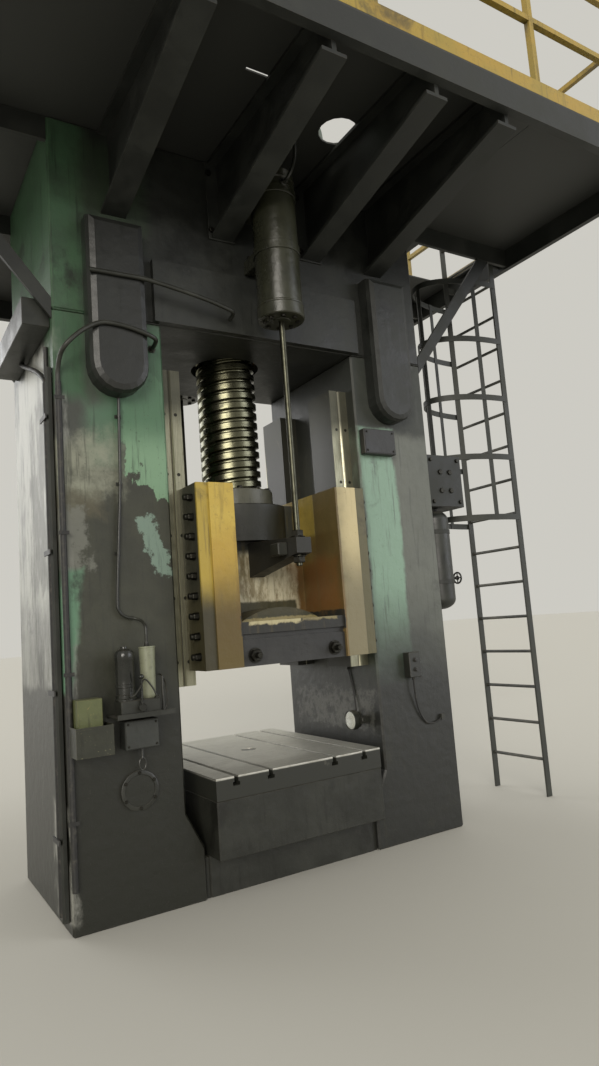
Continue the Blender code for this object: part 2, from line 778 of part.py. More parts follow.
def build_bearing():
    """Flanged bush of the screw's shank, on top of the crown."""
    bm = bmesh.new()
    bore = play(SHANK_R, ROUND_STEPS)
    low = CROWN_TOP + SEAT
    turned(bm, [(bore, SCREW_TOP + OVERRUN), (BUSH_R, SCREW_TOP + OVERRUN), (BUSH_R, low), (THRUST_R, low),
                (THRUST_R, low + THRUST_HEIGHT), (bore, low + THRUST_HEIGHT)], (0, 0, 0), ROUND_STEPS)
    finish("spindle_bush", bm, BRONZE)


def build_spindle():
    """Multi-start screw with its shank, thrust collar and flywheel seat."""
    owner = axis_empty("spindle_axis", (0, 0, 0))
    item = finish("spindle", thread_mesh(SCREW_R, SCREW_ROOT, SCREW_BOTTOM, SCREW_TOP), OILED, owner, 25.0)
    collar = CROWN_TOP + THRUST_HEIGHT + 2 * SEAT
    seat = collar + COLLAR_HEIGHT
    shank = bmesh.new()
    turned(shank, [(0, SCREW_TOP - OVERRUN), (SHANK_R, SCREW_TOP - OVERRUN), (SHANK_R, collar),
                   (COLLAR_R, collar), (COLLAR_R, seat), (HUB_BORE, seat), (HUB_BORE, seat + HUB_HEIGHT),
                   (0, seat + HUB_HEIGHT)], (0, 0, 0), ROUND_STEPS, closed=False)
    combine(item, shank, "spindle_shank", "UNION")
    return owner, seat


def build_flywheel(owner, seat):
    """Flywheel on the spindle's seat, closed by its cap."""
    low = seat + SEAT
    top = low + HUB_HEIGHT
    middle = (low + top) / 2
    bore = HUB_BORE + SEAT
    rim_low = middle - RIM_HEIGHT / 2
    inner = RIM_R - RIM_WIDTH
    bm = bmesh.new()
    turned(bm, [(0, top), (bore, top), (bore, low), (HUB_R, low), (HUB_R, middle - WEB_HEIGHT / 2),
                (inner, middle - WEB_HEIGHT / 2), (inner, rim_low), (RIM_R, rim_low),
                (RIM_R, rim_low + RIM_HEIGHT), (inner, rim_low + RIM_HEIGHT),
                (inner, middle + WEB_HEIGHT / 2), (HUB_R, middle + WEB_HEIGHT / 2), (HUB_R, top),
                (CAP_R, top), (CAP_R, top + CAP_HEIGHT), (0, top + CAP_HEIGHT)],
           (0, 0, 0), ROUND_STEPS, closed=False)
    finish("flywheel", bm, GREY, owner)


def build_guard():
    """Sheet guard that stands on the deck round the flywheel."""
    bm = bmesh.new()
    inner = RIM_R + GUARD_GAP
    outer = inner + GUARD_WALL
    foot = CROWN_TOP + DECK_THICK + 2 * SEAT
    high = foot + GUARD_HEIGHT
    turned(bm, [(inner, foot), (outer + GUARD_FOOT, foot), (outer + GUARD_FOOT, foot + GUARD_WALL),
                (outer, foot + GUARD_WALL), (outer, high), (GUARD_EYE_R, high),
                (GUARD_EYE_R, high - GUARD_WALL), (inner, high - GUARD_WALL)], (0, 0, 0), EJECT_STEPS)
    finish("flywheel_guard", bm, GREEN)


# Guides

def build_rails():
    """Four guide rails at the inner corners of the uprights, grooved on their wide faces."""
    inner = DAYLIGHT_HALF - SEAT - RAIL_WIDTH
    outer = DAYLIGHT_HALF - SEAT
    middle = (inner + outer) / 2
    back = GUIDE_Y - RAIL_DEPTH
    outline = [(inner, back), (outer, back), (outer, GUIDE_Y), (middle + RAIL_GROOVE, GUIDE_Y),
               (middle, GUIDE_Y - RAIL_GROOVE), (middle - RAIL_GROOVE, GUIDE_Y), (inner, GUIDE_Y)]
    for sx, sy in mirrored():
        bm = bmesh.new()
        prism(bm, [(sx * x, sy * y) for x, y in outline], RAIL_BOTTOM, RAIL_TOP)
        finish(f"guide_rail_{corner(sx, sy)}", bm, STEEL)


def build_gibs(owner):
    """Gib strips that reach over the rails, with their adjusting bolts."""
    pitch = (SLIDE_TOP - SLIDE_BOTTOM - 2 * GIB_BOLT_END) / (GIB_BOLTS - 1)
    for sx, sy in mirrored():
        bm = bmesh.new()
        boxed(bm, (sx * (POST_OUTER + SEAT), sx * GIB_OUTER),
              (sy * (GUIDE_Y + RUN), sy * (POST_FRONT - GIB_STEP)), (SLIDE_BOTTOM, SLIDE_TOP))
        item = finish(f"gib_{corner(sx, sy)}", bm, YELLOW, owner)
        bolts = bmesh.new()
        for i in range(GIB_BOLTS):
            z = SLIDE_BOTTOM + GIB_BOLT_END + i * pitch
            rod(bolts, GIB_BOLT_R, (sx * (GIB_OUTER - EMBED), sy * GIB_BOLT_Y, z),
                (sx * (GIB_OUTER + GIB_BOLT_LENGTH), sy * GIB_BOLT_Y, z), 6)
        combine(item, bolts, f"gib_bolts_{corner(sx, sy)}", "UNION")


# Slide

def slide_outline():
    """Plan outline of the slide, posts at its corners."""
    quarter = [(POST_INNER, LEDGE_FRONT), (POST_INNER, POST_FRONT), (POST_OUTER, POST_FRONT),
               (POST_OUTER, GUIDE_Y + RUN), (BODY_HALF, GUIDE_Y + RUN)]
    right = [(x, -y) for x, y in quarter] + [(x, y) for x, y in reversed(quarter)]
    return right + [(-x, -y) for x, y in right]


def build_slide(owner):
    """Slide body: corner posts, recesses with a ledge, round nut housing and the screw's bore."""
    bm = bmesh.new()
    prism(bm, slide_outline(), SLIDE_BOTTOM, SLIDE_TOP)
    item = finish("slide_body", bm, YELLOW, owner)
    tools = bmesh.new()
    for sy in (-1, 1):
        boxed(tools, (-POST_INNER, POST_INNER), (sy * RECESS_Y, sy * (POST_FRONT + OVERRUN)),
              (LEDGE_TOP, SLIDE_TOP + OVERRUN))
    boxed(tools, (-POST_INNER, POST_INNER), (-POST_FRONT - OVERRUN, POST_FRONT + OVERRUN),
          (SLIDE_BOTTOM - OVERRUN, LEDGE_BOTTOM))
    combine(item, tools, "slide_recesses")
    housing = bmesh.new()
    rod(housing, HOUSING_R, (0, 0, HOUSING_BOTTOM), (0, 0, HOUSING_TOP), ROUND_STEPS)
    combine(item, housing, "slide_housing", "UNION")
    well = bmesh.new()
    boxed(well, (-POST_INNER, POST_INNER), (-RECESS_Y - OVERRUN, RECESS_Y + OVERRUN),
          (HOUSING_TOP, SLIDE_TOP + OVERRUN))
    combine(item, well, "slide_well")
    bore = bmesh.new()
    turned(bore, [(0, SLIDE_BORE_FLOOR), (SCREW_R + THREAD_GAP, SLIDE_BORE_FLOOR),
                  (SCREW_R + THREAD_GAP, NUT_BOTTOM - SEAT), (NUT_R + SEAT, NUT_BOTTOM - SEAT),
                  (NUT_R + SEAT, HOUSING_TOP + OVERRUN), (0, HOUSING_TOP + OVERRUN)],
           (0, 0, 0), ROUND_STEPS, closed=False)
    combine(item, bore, "slide_bore")
    combine(item, liner_tools(), "side_liners", "UNION")
    combine(item, arch_tools(), "recess_arches", "UNION")


def liner_tools():
    """Wear liners on the slide's sides, facing the guide rails."""
    bm = bmesh.new()
    rail_face = DAYLIGHT_HALF - SEAT - RAIL_WIDTH
    for sx, sy in mirrored():
        boxed(bm, (sx * (BODY_HALF - EMBED), sx * (rail_face - RUN)),
              (sy * (GUIDE_Y - RAIL_DEPTH + LINER_INSET), sy * (GUIDE_Y - LINER_INSET)),
              (SLIDE_BOTTOM + LINER_INSET, SLIDE_TOP - LINER_INSET))
    return bm


def arch_tools():
    """Arched seats that stand on the ledge in each recess."""
    bm = bmesh.new()
    radius = (SEAT_HALF ** 2 + SEAT_RISE ** 2) / (2 * SEAT_RISE)
    half_angle = math.degrees(math.asin(SEAT_HALF / radius))
    centre = (0, LEDGE_TOP + SEAT_RISE - radius)
    outline = arc(radius, 90 - half_angle, 90 + half_angle, SEAT_STEPS, centre)
    outline += [(-SEAT_HALF, LEDGE_TOP - EMBED), (SEAT_HALF, LEDGE_TOP - EMBED)]
    for sy in (-1, 1):
        prism(bm, outline, sy * (RECESS_Y - EMBED), sy * SEAT_FRONT, "XZ")
    return bm


def build_nut(owner):
    """Flanged bronze nut with the matching inner thread, and its ring of bolts."""
    top = HOUSING_TOP + SEAT + FLANGE_HEIGHT
    bm = bmesh.new()
    turned(bm, [(0, NUT_BOTTOM), (NUT_R, NUT_BOTTOM), (NUT_R, HOUSING_TOP + SEAT),
                (FLANGE_R, HOUSING_TOP + SEAT), (FLANGE_R, top), (0, top)],
           (0, 0, 0), ROUND_STEPS, closed=False)
    item = finish("drive_nut", bm, BRONZE, owner)
    cutter = thread_mesh(SCREW_R + THREAD_GAP, SCREW_ROOT + THREAD_GAP,
                         NUT_BOTTOM - OVERRUN, top + OVERRUN, THREAD_GAP)
    combine(item, cutter, "drive_nut_thread")
    bolts = bmesh.new()
    for i in range(FLANGE_BOLTS):
        turn = math.tau * (i + 0.5) / FLANGE_BOLTS
        x, y = FLANGE_BOLT_CIRCLE * math.cos(turn), FLANGE_BOLT_CIRCLE * math.sin(turn)
        rod(bolts, FLANGE_BOLT_R, (x, y, top - EMBED), (x, y, top + FLANGE_BOLT_HEIGHT), 6)
    combine(item, bolts, "nut_bolts", "UNION")


def build_holder(owner):
    """Die holder under the ledge, between the posts, with its clamp bolts."""
    half = POST_INNER - SEAT
    top = LEDGE_BOTTOM - SEAT
    back = HOLDER_FRONT - HOLDER_LIP_DEPTH
    right = [(HOLDER_FRONT, SLIDE_BOTTOM), (HOLDER_FRONT, top - HOLDER_LIP), (back, top - HOLDER_LIP),
             (back, top)]
    outline = right + [(-y, z) for y, z in reversed(right)]
    bm = bmesh.new()
    prism(bm, outline, -half, half, "YZ")
    item = finish("die_holder", bm, DARK, owner)
    bolts = bmesh.new()
    face = HOLDER_FRONT + CLAMP_HEAD_LENGTH
    end = face + CLAMP_STUD_LENGTH
    for sx, sy in mirrored():
        turned(bolts, [(0, HOLDER_FRONT - EMBED), (CLAMP_HEAD_R, HOLDER_FRONT - EMBED), (CLAMP_HEAD_R, face),
                       (CLAMP_STUD_R, face), (CLAMP_STUD_R, end), (0, end)],
               (sx * CLAMP_X, 0, CLAMP_Z), 6, axis=(0, sy, 0), closed=False)
    combine(item, bolts, "die_clamp_bolts", "UNION")


# Lift cylinders




def build_cylinders():
    """Two lift cylinders with their glands and saddles, on the crown's front and rear."""
    low = GLAND_BOTTOM + GLAND_HEIGHT
    roof = BARREL_TOP - BARREL_CAP
    for sy, end in ((-1, "front"), (1, "rear")):
        y = sy * LIFT_Y
        bm = bmesh.new()
        turned(bm, [(0, GLAND_BOTTOM), (GLAND_R, GLAND_BOTTOM), (GLAND_R, low), (BARREL_R, low),
                    (BARREL_R, BARREL_TOP), (0, BARREL_TOP)], (0, y, 0), BARREL_STEPS, closed=False)
        item = finish(f"lift_cylinder_{end}", bm, GREY)
        saddles = bmesh.new()
        for z in SADDLE_LOWS:
            boxed(saddles, (-SADDLE_HALF, SADDLE_HALF),
                  (sy * (FRAME_HALF_Y + SEAT), sy * (LIFT_Y - BARREL_R / 2)), (z, z + SADDLE_HEIGHT))
        combine(item, saddles, f"lift_saddles_{end}", "UNION")
        bore = bmesh.new()
        turned(bore, [(0, roof), (BARREL_BORE, roof), (BARREL_BORE, low), (ROD_R + RUN, low),
                      (ROD_R + RUN, GLAND_BOTTOM - OVERRUN), (0, GLAND_BOTTOM - OVERRUN)],
               (0, y, 0), BARREL_STEPS, closed=False)
        combine(item, bore, f"lift_bore_{end}")


def build_lift(owner):
    """Rods, arms and limit switch of the lift, which travel with the slide."""
    root = HOUSING_R + SEAT
    reach = ARM_END - LIFT_Y + ROD_NUT_R
    under = ARM_TIP_BOTTOM - SEAT
    under -= reach * (ARM_TIP_BOTTOM - ARM_ROOT_BOTTOM) / (ARM_END - RECESS_Y)
    over = ARM_TIP_TOP + reach * (ARM_ROOT_TOP - ARM_TIP_TOP) / (ARM_END - root) + SEAT
    tail = under - ROD_NUT_HEIGHT - ROD_TAIL
    crest = PISTON_Z + PISTON_HEIGHT
    outline = [(RECESS_Y + SEAT, ARM_ROOT_BOTTOM), (ARM_END, ARM_TIP_BOTTOM), (ARM_END, ARM_TIP_TOP),
               (root, ARM_ROOT_TOP), (RECESS_Y + SEAT, ARM_ROOT_TOP)]
    for sy, end in ((-1, "front"), (1, "rear")):
        y = sy * LIFT_Y
        bm = bmesh.new()
        turned(bm, [(0, tail), (ROD_R, tail), (ROD_R, PISTON_Z), (BARREL_BORE - RUN, PISTON_Z),
                    (BARREL_BORE - RUN, crest), (0, crest)], (0, y, 0), BARREL_STEPS, closed=False)
        item = finish(f"lift_rod_{end}", bm, STEEL, owner)
        nuts = bmesh.new()
        rod(nuts, ROD_NUT_R, (0, y, under - ROD_NUT_HEIGHT), (0, y, under), 6)
        rod(nuts, ROD_NUT_R, (0, y, over), (0, y, over + ROD_NUT_HEIGHT), 6)
        combine(item, nuts, f"lift_rod_nuts_{end}", "UNION")
        bm = bmesh.new()
        prism(bm, [(sy * a, b) for a, b in outline], -ARM_HALF, ARM_HALF, "YZ")
        item = finish(f"lift_arm_{end}", bm, DARK, owner)
        bore = bmesh.new()
        rod(bore, ROD_R + SEAT, (0, y, ARM_ROOT_BOTTOM), (0, y, ARM_ROOT_TOP), BARREL_STEPS)
        combine(item, bore, f"lift_arm_bore_{end}")
    bm = bmesh.new()
    wide, long, tall = SWITCH_SIZE
    side = -ARM_HALF - SEAT
    boxed(bm, (side - wide, side), (-LIFT_Y + ROD_NUT_R, -LIFT_Y + ROD_NUT_R + long),
          (ARM_TIP_BOTTOM, ARM_TIP_BOTTOM + tall))
    soften(finish("limit_switch", bm, GREY, owner), SWITCH_EDGE)


# Platform

def loft(bm, near, far):
    """Joins two outlines of equal count into a closed bar."""
    first = [bm.verts.new(p) for p in near]
    last = [bm.verts.new(p) for p in far]
    bm.faces.new(first)
    bm.faces.new(last)
    count = len(first)
    for i in range(count):
        j = (i + 1) % count
        bm.faces.new((first[i], first[j], last[j], last[i]))


def beam_section(x, y, bottom, top):
    """I-section of a platform arm at one distance from the crown."""
    flange, web, thick = ARM_FLANGE / 2, ARM_WEB / 2, ARM_FLANGE_THICK
    right = [(flange, bottom), (flange, bottom + thick), (web, bottom + thick), (web, top - thick),
             (flange, top - thick), (flange, top)]
    return [(x + a, y, z) for a, z in right] + [(x - a, y, z) for a, z in reversed(right)]


def build_platform_frame():
    """Welded frame of the platform: tapered arms, side arms with braces, and edge beams."""
    bm = bmesh.new()
    root = FRAME_HALF_Y + SEAT
    for sy in (-1, 1):
        for x in ARM_XS:
            loft(bm, beam_section(x, sy * root, ARM_ROOT_Z, CROWN_TOP - EMBED),
                 beam_section(x, sy * (ARM_FREE_END + EMBED), ARM_TIP_Z, CROWN_TOP - EMBED))
    item = finish("platform_frame", bm, GREEN)
    low = CROWN_TOP - EDGE_BEAM_HEIGHT
    beams = bmesh.new()
    for sy in (-1, 1):
        boxed(beams, (-DECK_HALF_X, DECK_HALF_X), (sy * ARM_FREE_END, sy * DECK_HALF_Y), (low, CROWN_TOP))
    combine(item, beams, "front_rear_beams", "UNION")
    beams = bmesh.new()
    inner = DECK_HALF_X - EDGE_BEAM_THICK
    for sx in (-1, 1):
        boxed(beams, (sx * inner, sx * (DECK_HALF_X - EMBED)), (-ARM_FREE_END - EMBED, ARM_FREE_END + EMBED),
              (low + EMBED, CROWN_TOP - EMBED))
    combine(item, beams, "side_beams", "UNION")
    arms = bmesh.new()
    braces = bmesh.new()
    under = CROWN_TOP - SIDE_ARM_HEIGHT
    face = FRAME_HALF_X + SEAT
    half = SIDE_ARM_THICK / 2
    reach = face + BRACE_REACH
    outline = [(face, BRACE_LOW), (reach, under + EMBED), (reach - BRACE_WIDTH, under + EMBED),
               (face, BRACE_LOW + BRACE_WIDTH)]
    for sx, sy in mirrored():
        y = sy * SIDE_ARM_Y
        boxed(arms, (sx * face, sx * (inner + EMBED)), (y - half, y + half), (under, CROWN_TOP - 2 * EMBED))
        prism(braces, [(sx * a, b) for a, b in outline], y - half + EMBED, y + half - EMBED, "XZ")
    combine(item, arms, "side_arms", "UNION")
    combine(item, braces, "side_braces", "UNION")
    stand = bmesh.new()
    half = STRINGER_THICK / 2
    for s in (-1, 1):
        y = LADDER_Y + s * LADDER_HALF
        boxed(stand, (LADDER_X + STRINGER_DEEP / 2 + SEAT, inner + EMBED), (y - half, y + half),
              (STANDOFF_Z - STANDOFF_HALF, STANDOFF_Z + STANDOFF_HALF))
    combine(item, stand, "ladder_standoffs", "UNION")


def build_deck():
    """Deck plates: the main plate round the drive, and the right plate with the ladder hatch."""
    low = CROWN_TOP + SEAT
    top = low + DECK_THICK
    bm = bmesh.new()
    boxed(bm, (-DECK_HALF_X, DECK_SPLIT_X), (-DECK_HALF_Y, DECK_HALF_Y), (low, top))
    item = finish("platform_deck", bm, DARK)
    tools = bmesh.new()
    under, over = low - OVERRUN, top + OVERRUN
    rod(tools, DRIVE_HOLE_R, (0, 0, under), (0, 0, over), ROUND_STEPS)
    for sx, sy in mirrored():
        rod(tools, TIE_HOLE_R, (sx * TIE_X, sy * TIE_Y, under), (sx * TIE_X, sy * TIE_Y, over), TIE_SIDES)
    rod(tools, PORT_R, (PORT_X, PORT_Y, under), (PORT_X, PORT_Y, over), PORT_STEPS)
    boxed(tools, SLIT_XS, SLIT_YS, (under, over))
    combine(item, tools, "deck_holes")
    bm = bmesh.new()
    boxed(bm, (DECK_SPLIT_X + DECK_JOINT, DECK_HALF_X), (-DECK_HALF_Y, DECK_HALF_Y), (low, top))
    item = finish("deck_right", bm, DARK)
    tools = bmesh.new()
    boxed(tools, (HATCH_X0, HATCH_X1), (LADDER_Y - HATCH_HALF, LADDER_Y + HATCH_HALF), (under, over))
    combine(item, tools, "deck_hatch")
    return top + SEAT


def build_railing(foot):
    """Welded railing of square tube with two rails on each side, and toe boards."""
    half = RAILING_HALF
    inset = TOE_THICK - TOE_WELD + half
    half_x = DECK_HALF_X - inset
    half_y = DECK_HALF_Y - inset
    top = foot + RAILING_HEIGHT
    spots = [(-half_x + 2 * half_x * i / RAILING_BAYS_X, sy * half_y)
             for i in range(RAILING_BAYS_X + 1) for sy in (-1, 1)]
    spots += [(sx * half_x, -half_y + 2 * half_y * i / RAILING_BAYS_Y)
              for i in range(1, RAILING_BAYS_Y) for sx in (-1, 1)]
    bm = bmesh.new()
    for x, y in spots:
        boxed(bm, (x - half, x + half), (y - half, y + half), (foot, top))
    item = finish("railing", bm, YELLOW)
    thin = half - TOE_WELD
    heights = (foot + RAILING_MIDDLE, top - half)
    rails = bmesh.new()
    for s in (-1, 1):
        for z in heights:
            boxed(rails, (-half_x, half_x), (s * half_y - thin, s * half_y + thin), (z - thin, z + thin))
    combine(item, rails, "long_rails", "UNION")
    rails = bmesh.new()
    for s in (-1, 1):
        for z in heights:
            boxed(rails, (s * half_x - thin, s * half_x + thin), (-half_y, half_y), (z - thin, z + thin))
    combine(item, rails, "cross_rails", "UNION")
    boards = bmesh.new()
    for s in (-1, 1):
        boxed(boards, (-DECK_HALF_X, DECK_HALF_X), (s * (DECK_HALF_Y - TOE_THICK), s * DECK_HALF_Y),
              (foot + TOE_WELD, foot + TOE_HEIGHT))
    combine(item, boards, "long_toe_boards", "UNION")
    boards = bmesh.new()
    end = DECK_HALF_Y - TOE_WELD
    for s in (-1, 1):
        boxed(boards, (s * (DECK_HALF_X - TOE_THICK), s * (DECK_HALF_X - TOE_WELD)), (-end, end),
              (foot + 2 * TOE_WELD, foot + TOE_HEIGHT - TOE_WELD))
    combine(item, boards, "cross_toe_boards", "UNION")


# Ladder

def hoop_points(width, depth):
    """Half ellipse of a cage hoop seen from above, open towards the stringers."""
    turns = [math.pi * (i / HOOP_STEPS - 0.5) for i in range(HOOP_STEPS + 1)]
    face = LADDER_X - STRINGER_DEEP / 2
    return [(face - depth * math.cos(t), LADDER_Y + width * math.sin(t)) for t in turns]


def build_ladder():
    """Welded ladder from the floor through the hatch, and its safety cage."""
    deep, thick = STRINGER_DEEP / 2, STRINGER_THICK / 2
    bm = bmesh.new()
    for s in (-1, 1):
        y = LADDER_Y + s * LADDER_HALF
        boxed(bm, (LADDER_X - deep, LADDER_X + deep), (y - thick, y + thick), (0, LADDER_TOP))
    item = finish("ladder", bm, DARK)
    rungs = bmesh.new()
    for i in range(int((LADDER_TOP - RUNG_FIRST) / RUNG_PITCH) + 1):
        z = RUNG_FIRST + i * RUNG_PITCH
        rod(rungs, RUNG_R, (LADDER_X, LADDER_Y - LADDER_HALF, z), (LADDER_X, LADDER_Y + LADDER_HALF, z),
            RUNG_SIDES)
    combine(item, rungs, "ladder_rungs", "UNION")
    width = LADDER_HALF + thick + SEAT
    outer = hoop_points(width + HOOP_THICK, HOOP_DEPTH)
    near = hoop_points(width, HOOP_DEPTH - HOOP_THICK)
    tab = LADDER_X - deep + HOOP_TAB
    outline = [(tab, outer[0][1]), *outer, (tab, outer[-1][1]), (tab, near[-1][1]), *reversed(near),
               (tab, near[0][1])]
    hoops = bmesh.new()
    for z in HOOP_ZS:
        prism(hoops, outline, z - HOOP_BAND / 2, z + HOOP_BAND / 2)
    item = finish("ladder_cage", hoops, DARK)
    bars = bmesh.new()
    low, high = HOOP_ZS[0] - HOOP_BAND / 2 + TOE_WELD, HOOP_ZS[-1] + HOOP_BAND / 2 - TOE_WELD
    for i in CAGE_PLACES:
        a, b = Vector(near[i]), Vector(near[i + 1])
        along = (b - a).normalized()
        inward = Vector((-along.y, along.x))
        if inward.dot(Vector((LADDER_X, LADDER_Y)) - a) < 0:
            inward.negate()
        centre = (a + b) / 2 + inward * (CAGE_BAR_THICK / 2 - TOE_WELD)
        side, out = along * CAGE_BAR_WIDTH / 2, inward * CAGE_BAR_THICK / 2
        prism(bars, [centre - side - out, centre + side - out, centre + side + out, centre - side + out],
              low, high)
    combine(item, bars, "cage_bars", "UNION")


# Left upright

def build_lubricator():
    """Shelf on the left upright with the grease pump, its cup, valve body, stand and lever."""
    wall = -(FRAME_HALF_Y + SEAT)
    bm = bmesh.new()
    rim = wall - SHELF_DEPTH
    outline = [(wall, SHELF_Z - SHELF_THICK), (rim, SHELF_Z - SHELF_THICK), (rim, SHELF_Z + SHELF_LIP),
               (rim + SHELF_THICK, SHELF_Z + SHELF_LIP), (rim + SHELF_THICK, SHELF_Z), (wall, SHELF_Z)]
    prism(bm, outline, SHELF_X0, SHELF_X1, "YZ")
    item = finish("lubricator_shelf", bm, DARK)
    y = wall - PUMP_Y_OFF
    seat = SHELF_Z + SEAT
    stand = bmesh.new()
    rod(stand, STAND_R, (STAND_X, y, SHELF_Z - SHELF_THICK / 2), (STAND_X, y, seat + STAND_HEIGHT),
        LEVER_SIDES)
    combine(item, stand, "shelf_stand", "UNION")
    valve_top = seat + VALVE_HEIGHT
    front = y - VALVE_DEPTH / 2
    bm = bmesh.new()
    boxed(bm, (VALVE_X0, VALVE_X1), (front, front + VALVE_DEPTH), (seat, valve_top))
    item = soften(finish("lubricator_valve", bm, DARK), COVER_EDGE)
    tools = bmesh.new()
    pivot = (VALVE_X0 + VALVE_X1) / 2, (seat + valve_top) / 2
    rod(tools, play(LEVER_PIN_R, LEVER_SIDES), (pivot[0], front - OVERRUN, pivot[1]),
        (pivot[0], front + LEVER_PIN_LENGTH + RUN, pivot[1]), LEVER_SIDES)
    combine(item, tools, "lubricator_valve_bore")
    bm = bmesh.new()
    low = valve_top + SEAT
    turned(bm, [(0, low), (PUMP_FOOT_R, low), (PUMP_FOOT_R, low + PUMP_FOOT), (PUMP_R, low + PUMP_FOOT),
                (PUMP_R, low + PUMP_HEIGHT - PUMP_SHOULDER), (CUP_NECK_R, low + PUMP_HEIGHT),
                (0, low + PUMP_HEIGHT)], (PUMP_X, y, 0), BARREL_STEPS, closed=False)
    finish("grease_pump", bm, DARK)
    bm = bmesh.new()
    shoulder = low + CUP_HEIGHT
    mouth = shoulder + CUP_NECK_HEIGHT
    turned(bm, [(0, low), (CUP_R, low), (CUP_R, shoulder), (CUP_NECK_R, shoulder + CUP_NECK_HEIGHT / 2),
                (CUP_NECK_R, mouth), (0, mouth)], (CUP_X, y, 0), BARREL_STEPS, closed=False)
    finish("oil_cup", bm, CREAM)
    bm = bmesh.new()
    boxed(bm, (BOX_X0, BOX_X1), (wall - BOX_DEPTH, wall), (BOX_Z0, BOX_Z0 + BOX_HEIGHT))
    soften(finish("lubricator_box", bm, GREY), COVER_EDGE)
    owner = axis_empty("lever_axis", (pivot[0], front, pivot[1]))
    bm = bmesh.new()
    rod(bm, LEVER_PIN_R, (pivot[0], front + LEVER_PIN_LENGTH, pivot[1]),
        (pivot[0], front - LEVER_BOSS_LENGTH - RUN, pivot[1]), LEVER_SIDES)
    item = finish("lubricator_lever", bm, DARK, owner)
    boss = bmesh.new()
    rod(boss, LEVER_BOSS_R, (pivot[0], front - RUN, pivot[1]),
        (pivot[0], front - RUN - LEVER_BOSS_LENGTH, pivot[1]), LEVER_SIDES)
    combine(item, boss, "lever_boss", "UNION")
    bar = bmesh.new()
    middle = front - RUN - LEVER_BOSS_LENGTH / 2
    rod(bar, LEVER_R, (pivot[0], middle, pivot[1]), (pivot[0], middle, pivot[1] + LEVER_LENGTH), LEVER_SIDES)
    combine(item, bar, "lever_bar", "UNION")
    knob = bmesh.new()
    bmesh.ops.create_icosphere(knob, subdivisions=1, radius=LEVER_KNOB_R,
                               matrix=Matrix.Translation((pivot[0], middle, pivot[1] + LEVER_LENGTH)))
    combine(item, knob, "lever_knob", "UNION")
    return (CUP_X, y, mouth)


def build_tray():
    """Open tray on the left upright with an upright box standing in it."""
    wall = -(FRAME_HALF_Y + SEAT)
    bm = bmesh.new()
    boxed(bm, (TRAY_X0, TRAY_X1), (wall - TRAY_DEPTH, wall), (TRAY_Z, TRAY_Z + TRAY_HEIGHT))
    item = finish("tray", bm, GREY)
    tools = bmesh.new()
    boxed(tools, (TRAY_X0 + TRAY_WALL, TRAY_X1 - TRAY_WALL),
          (wall - TRAY_DEPTH + TRAY_WALL, wall - TRAY_WALL),
          (TRAY_Z + TRAY_WALL, TRAY_Z + TRAY_HEIGHT + OVERRUN))
    combine(item, tools, "tray_hollow")
    bm = bmesh.new()
    near = wall - TRAY_WALL - SEAT
    low = TRAY_Z + TRAY_WALL + SEAT
    boxed(bm, (PACK_X0, PACK_X1), (near - PACK_DEPTH, near), (low, low + PACK_HEIGHT))
    soften(finish("tray_box", bm, CREAM), COVER_EDGE)


# Right upright

def build_right_boxes():
    """Junction box and switch box on the right upright."""
    wall = -(FRAME_HALF_Y + SEAT)
    bm = bmesh.new()
    boxed(bm, (LEDGE_BOX_X0, LEDGE_BOX_X1), (wall - LEDGE_BOX_DEPTH, wall),
          (LEDGE_BOX_Z0, LEDGE_BOX_Z0 + LEDGE_BOX_HEIGHT))
    soften(finish("junction_box", bm, GREEN), COVER_EDGE)
    bm = bmesh.new()
    boxed(bm, (SWITCH_X0, SWITCH_X1), (wall - SWITCH_DEPTH, wall), (SWITCH_Z0, SWITCH_Z0 + SWITCH_HEIGHT))
    soften(finish("switch_box", bm, GREY), COVER_EDGE)


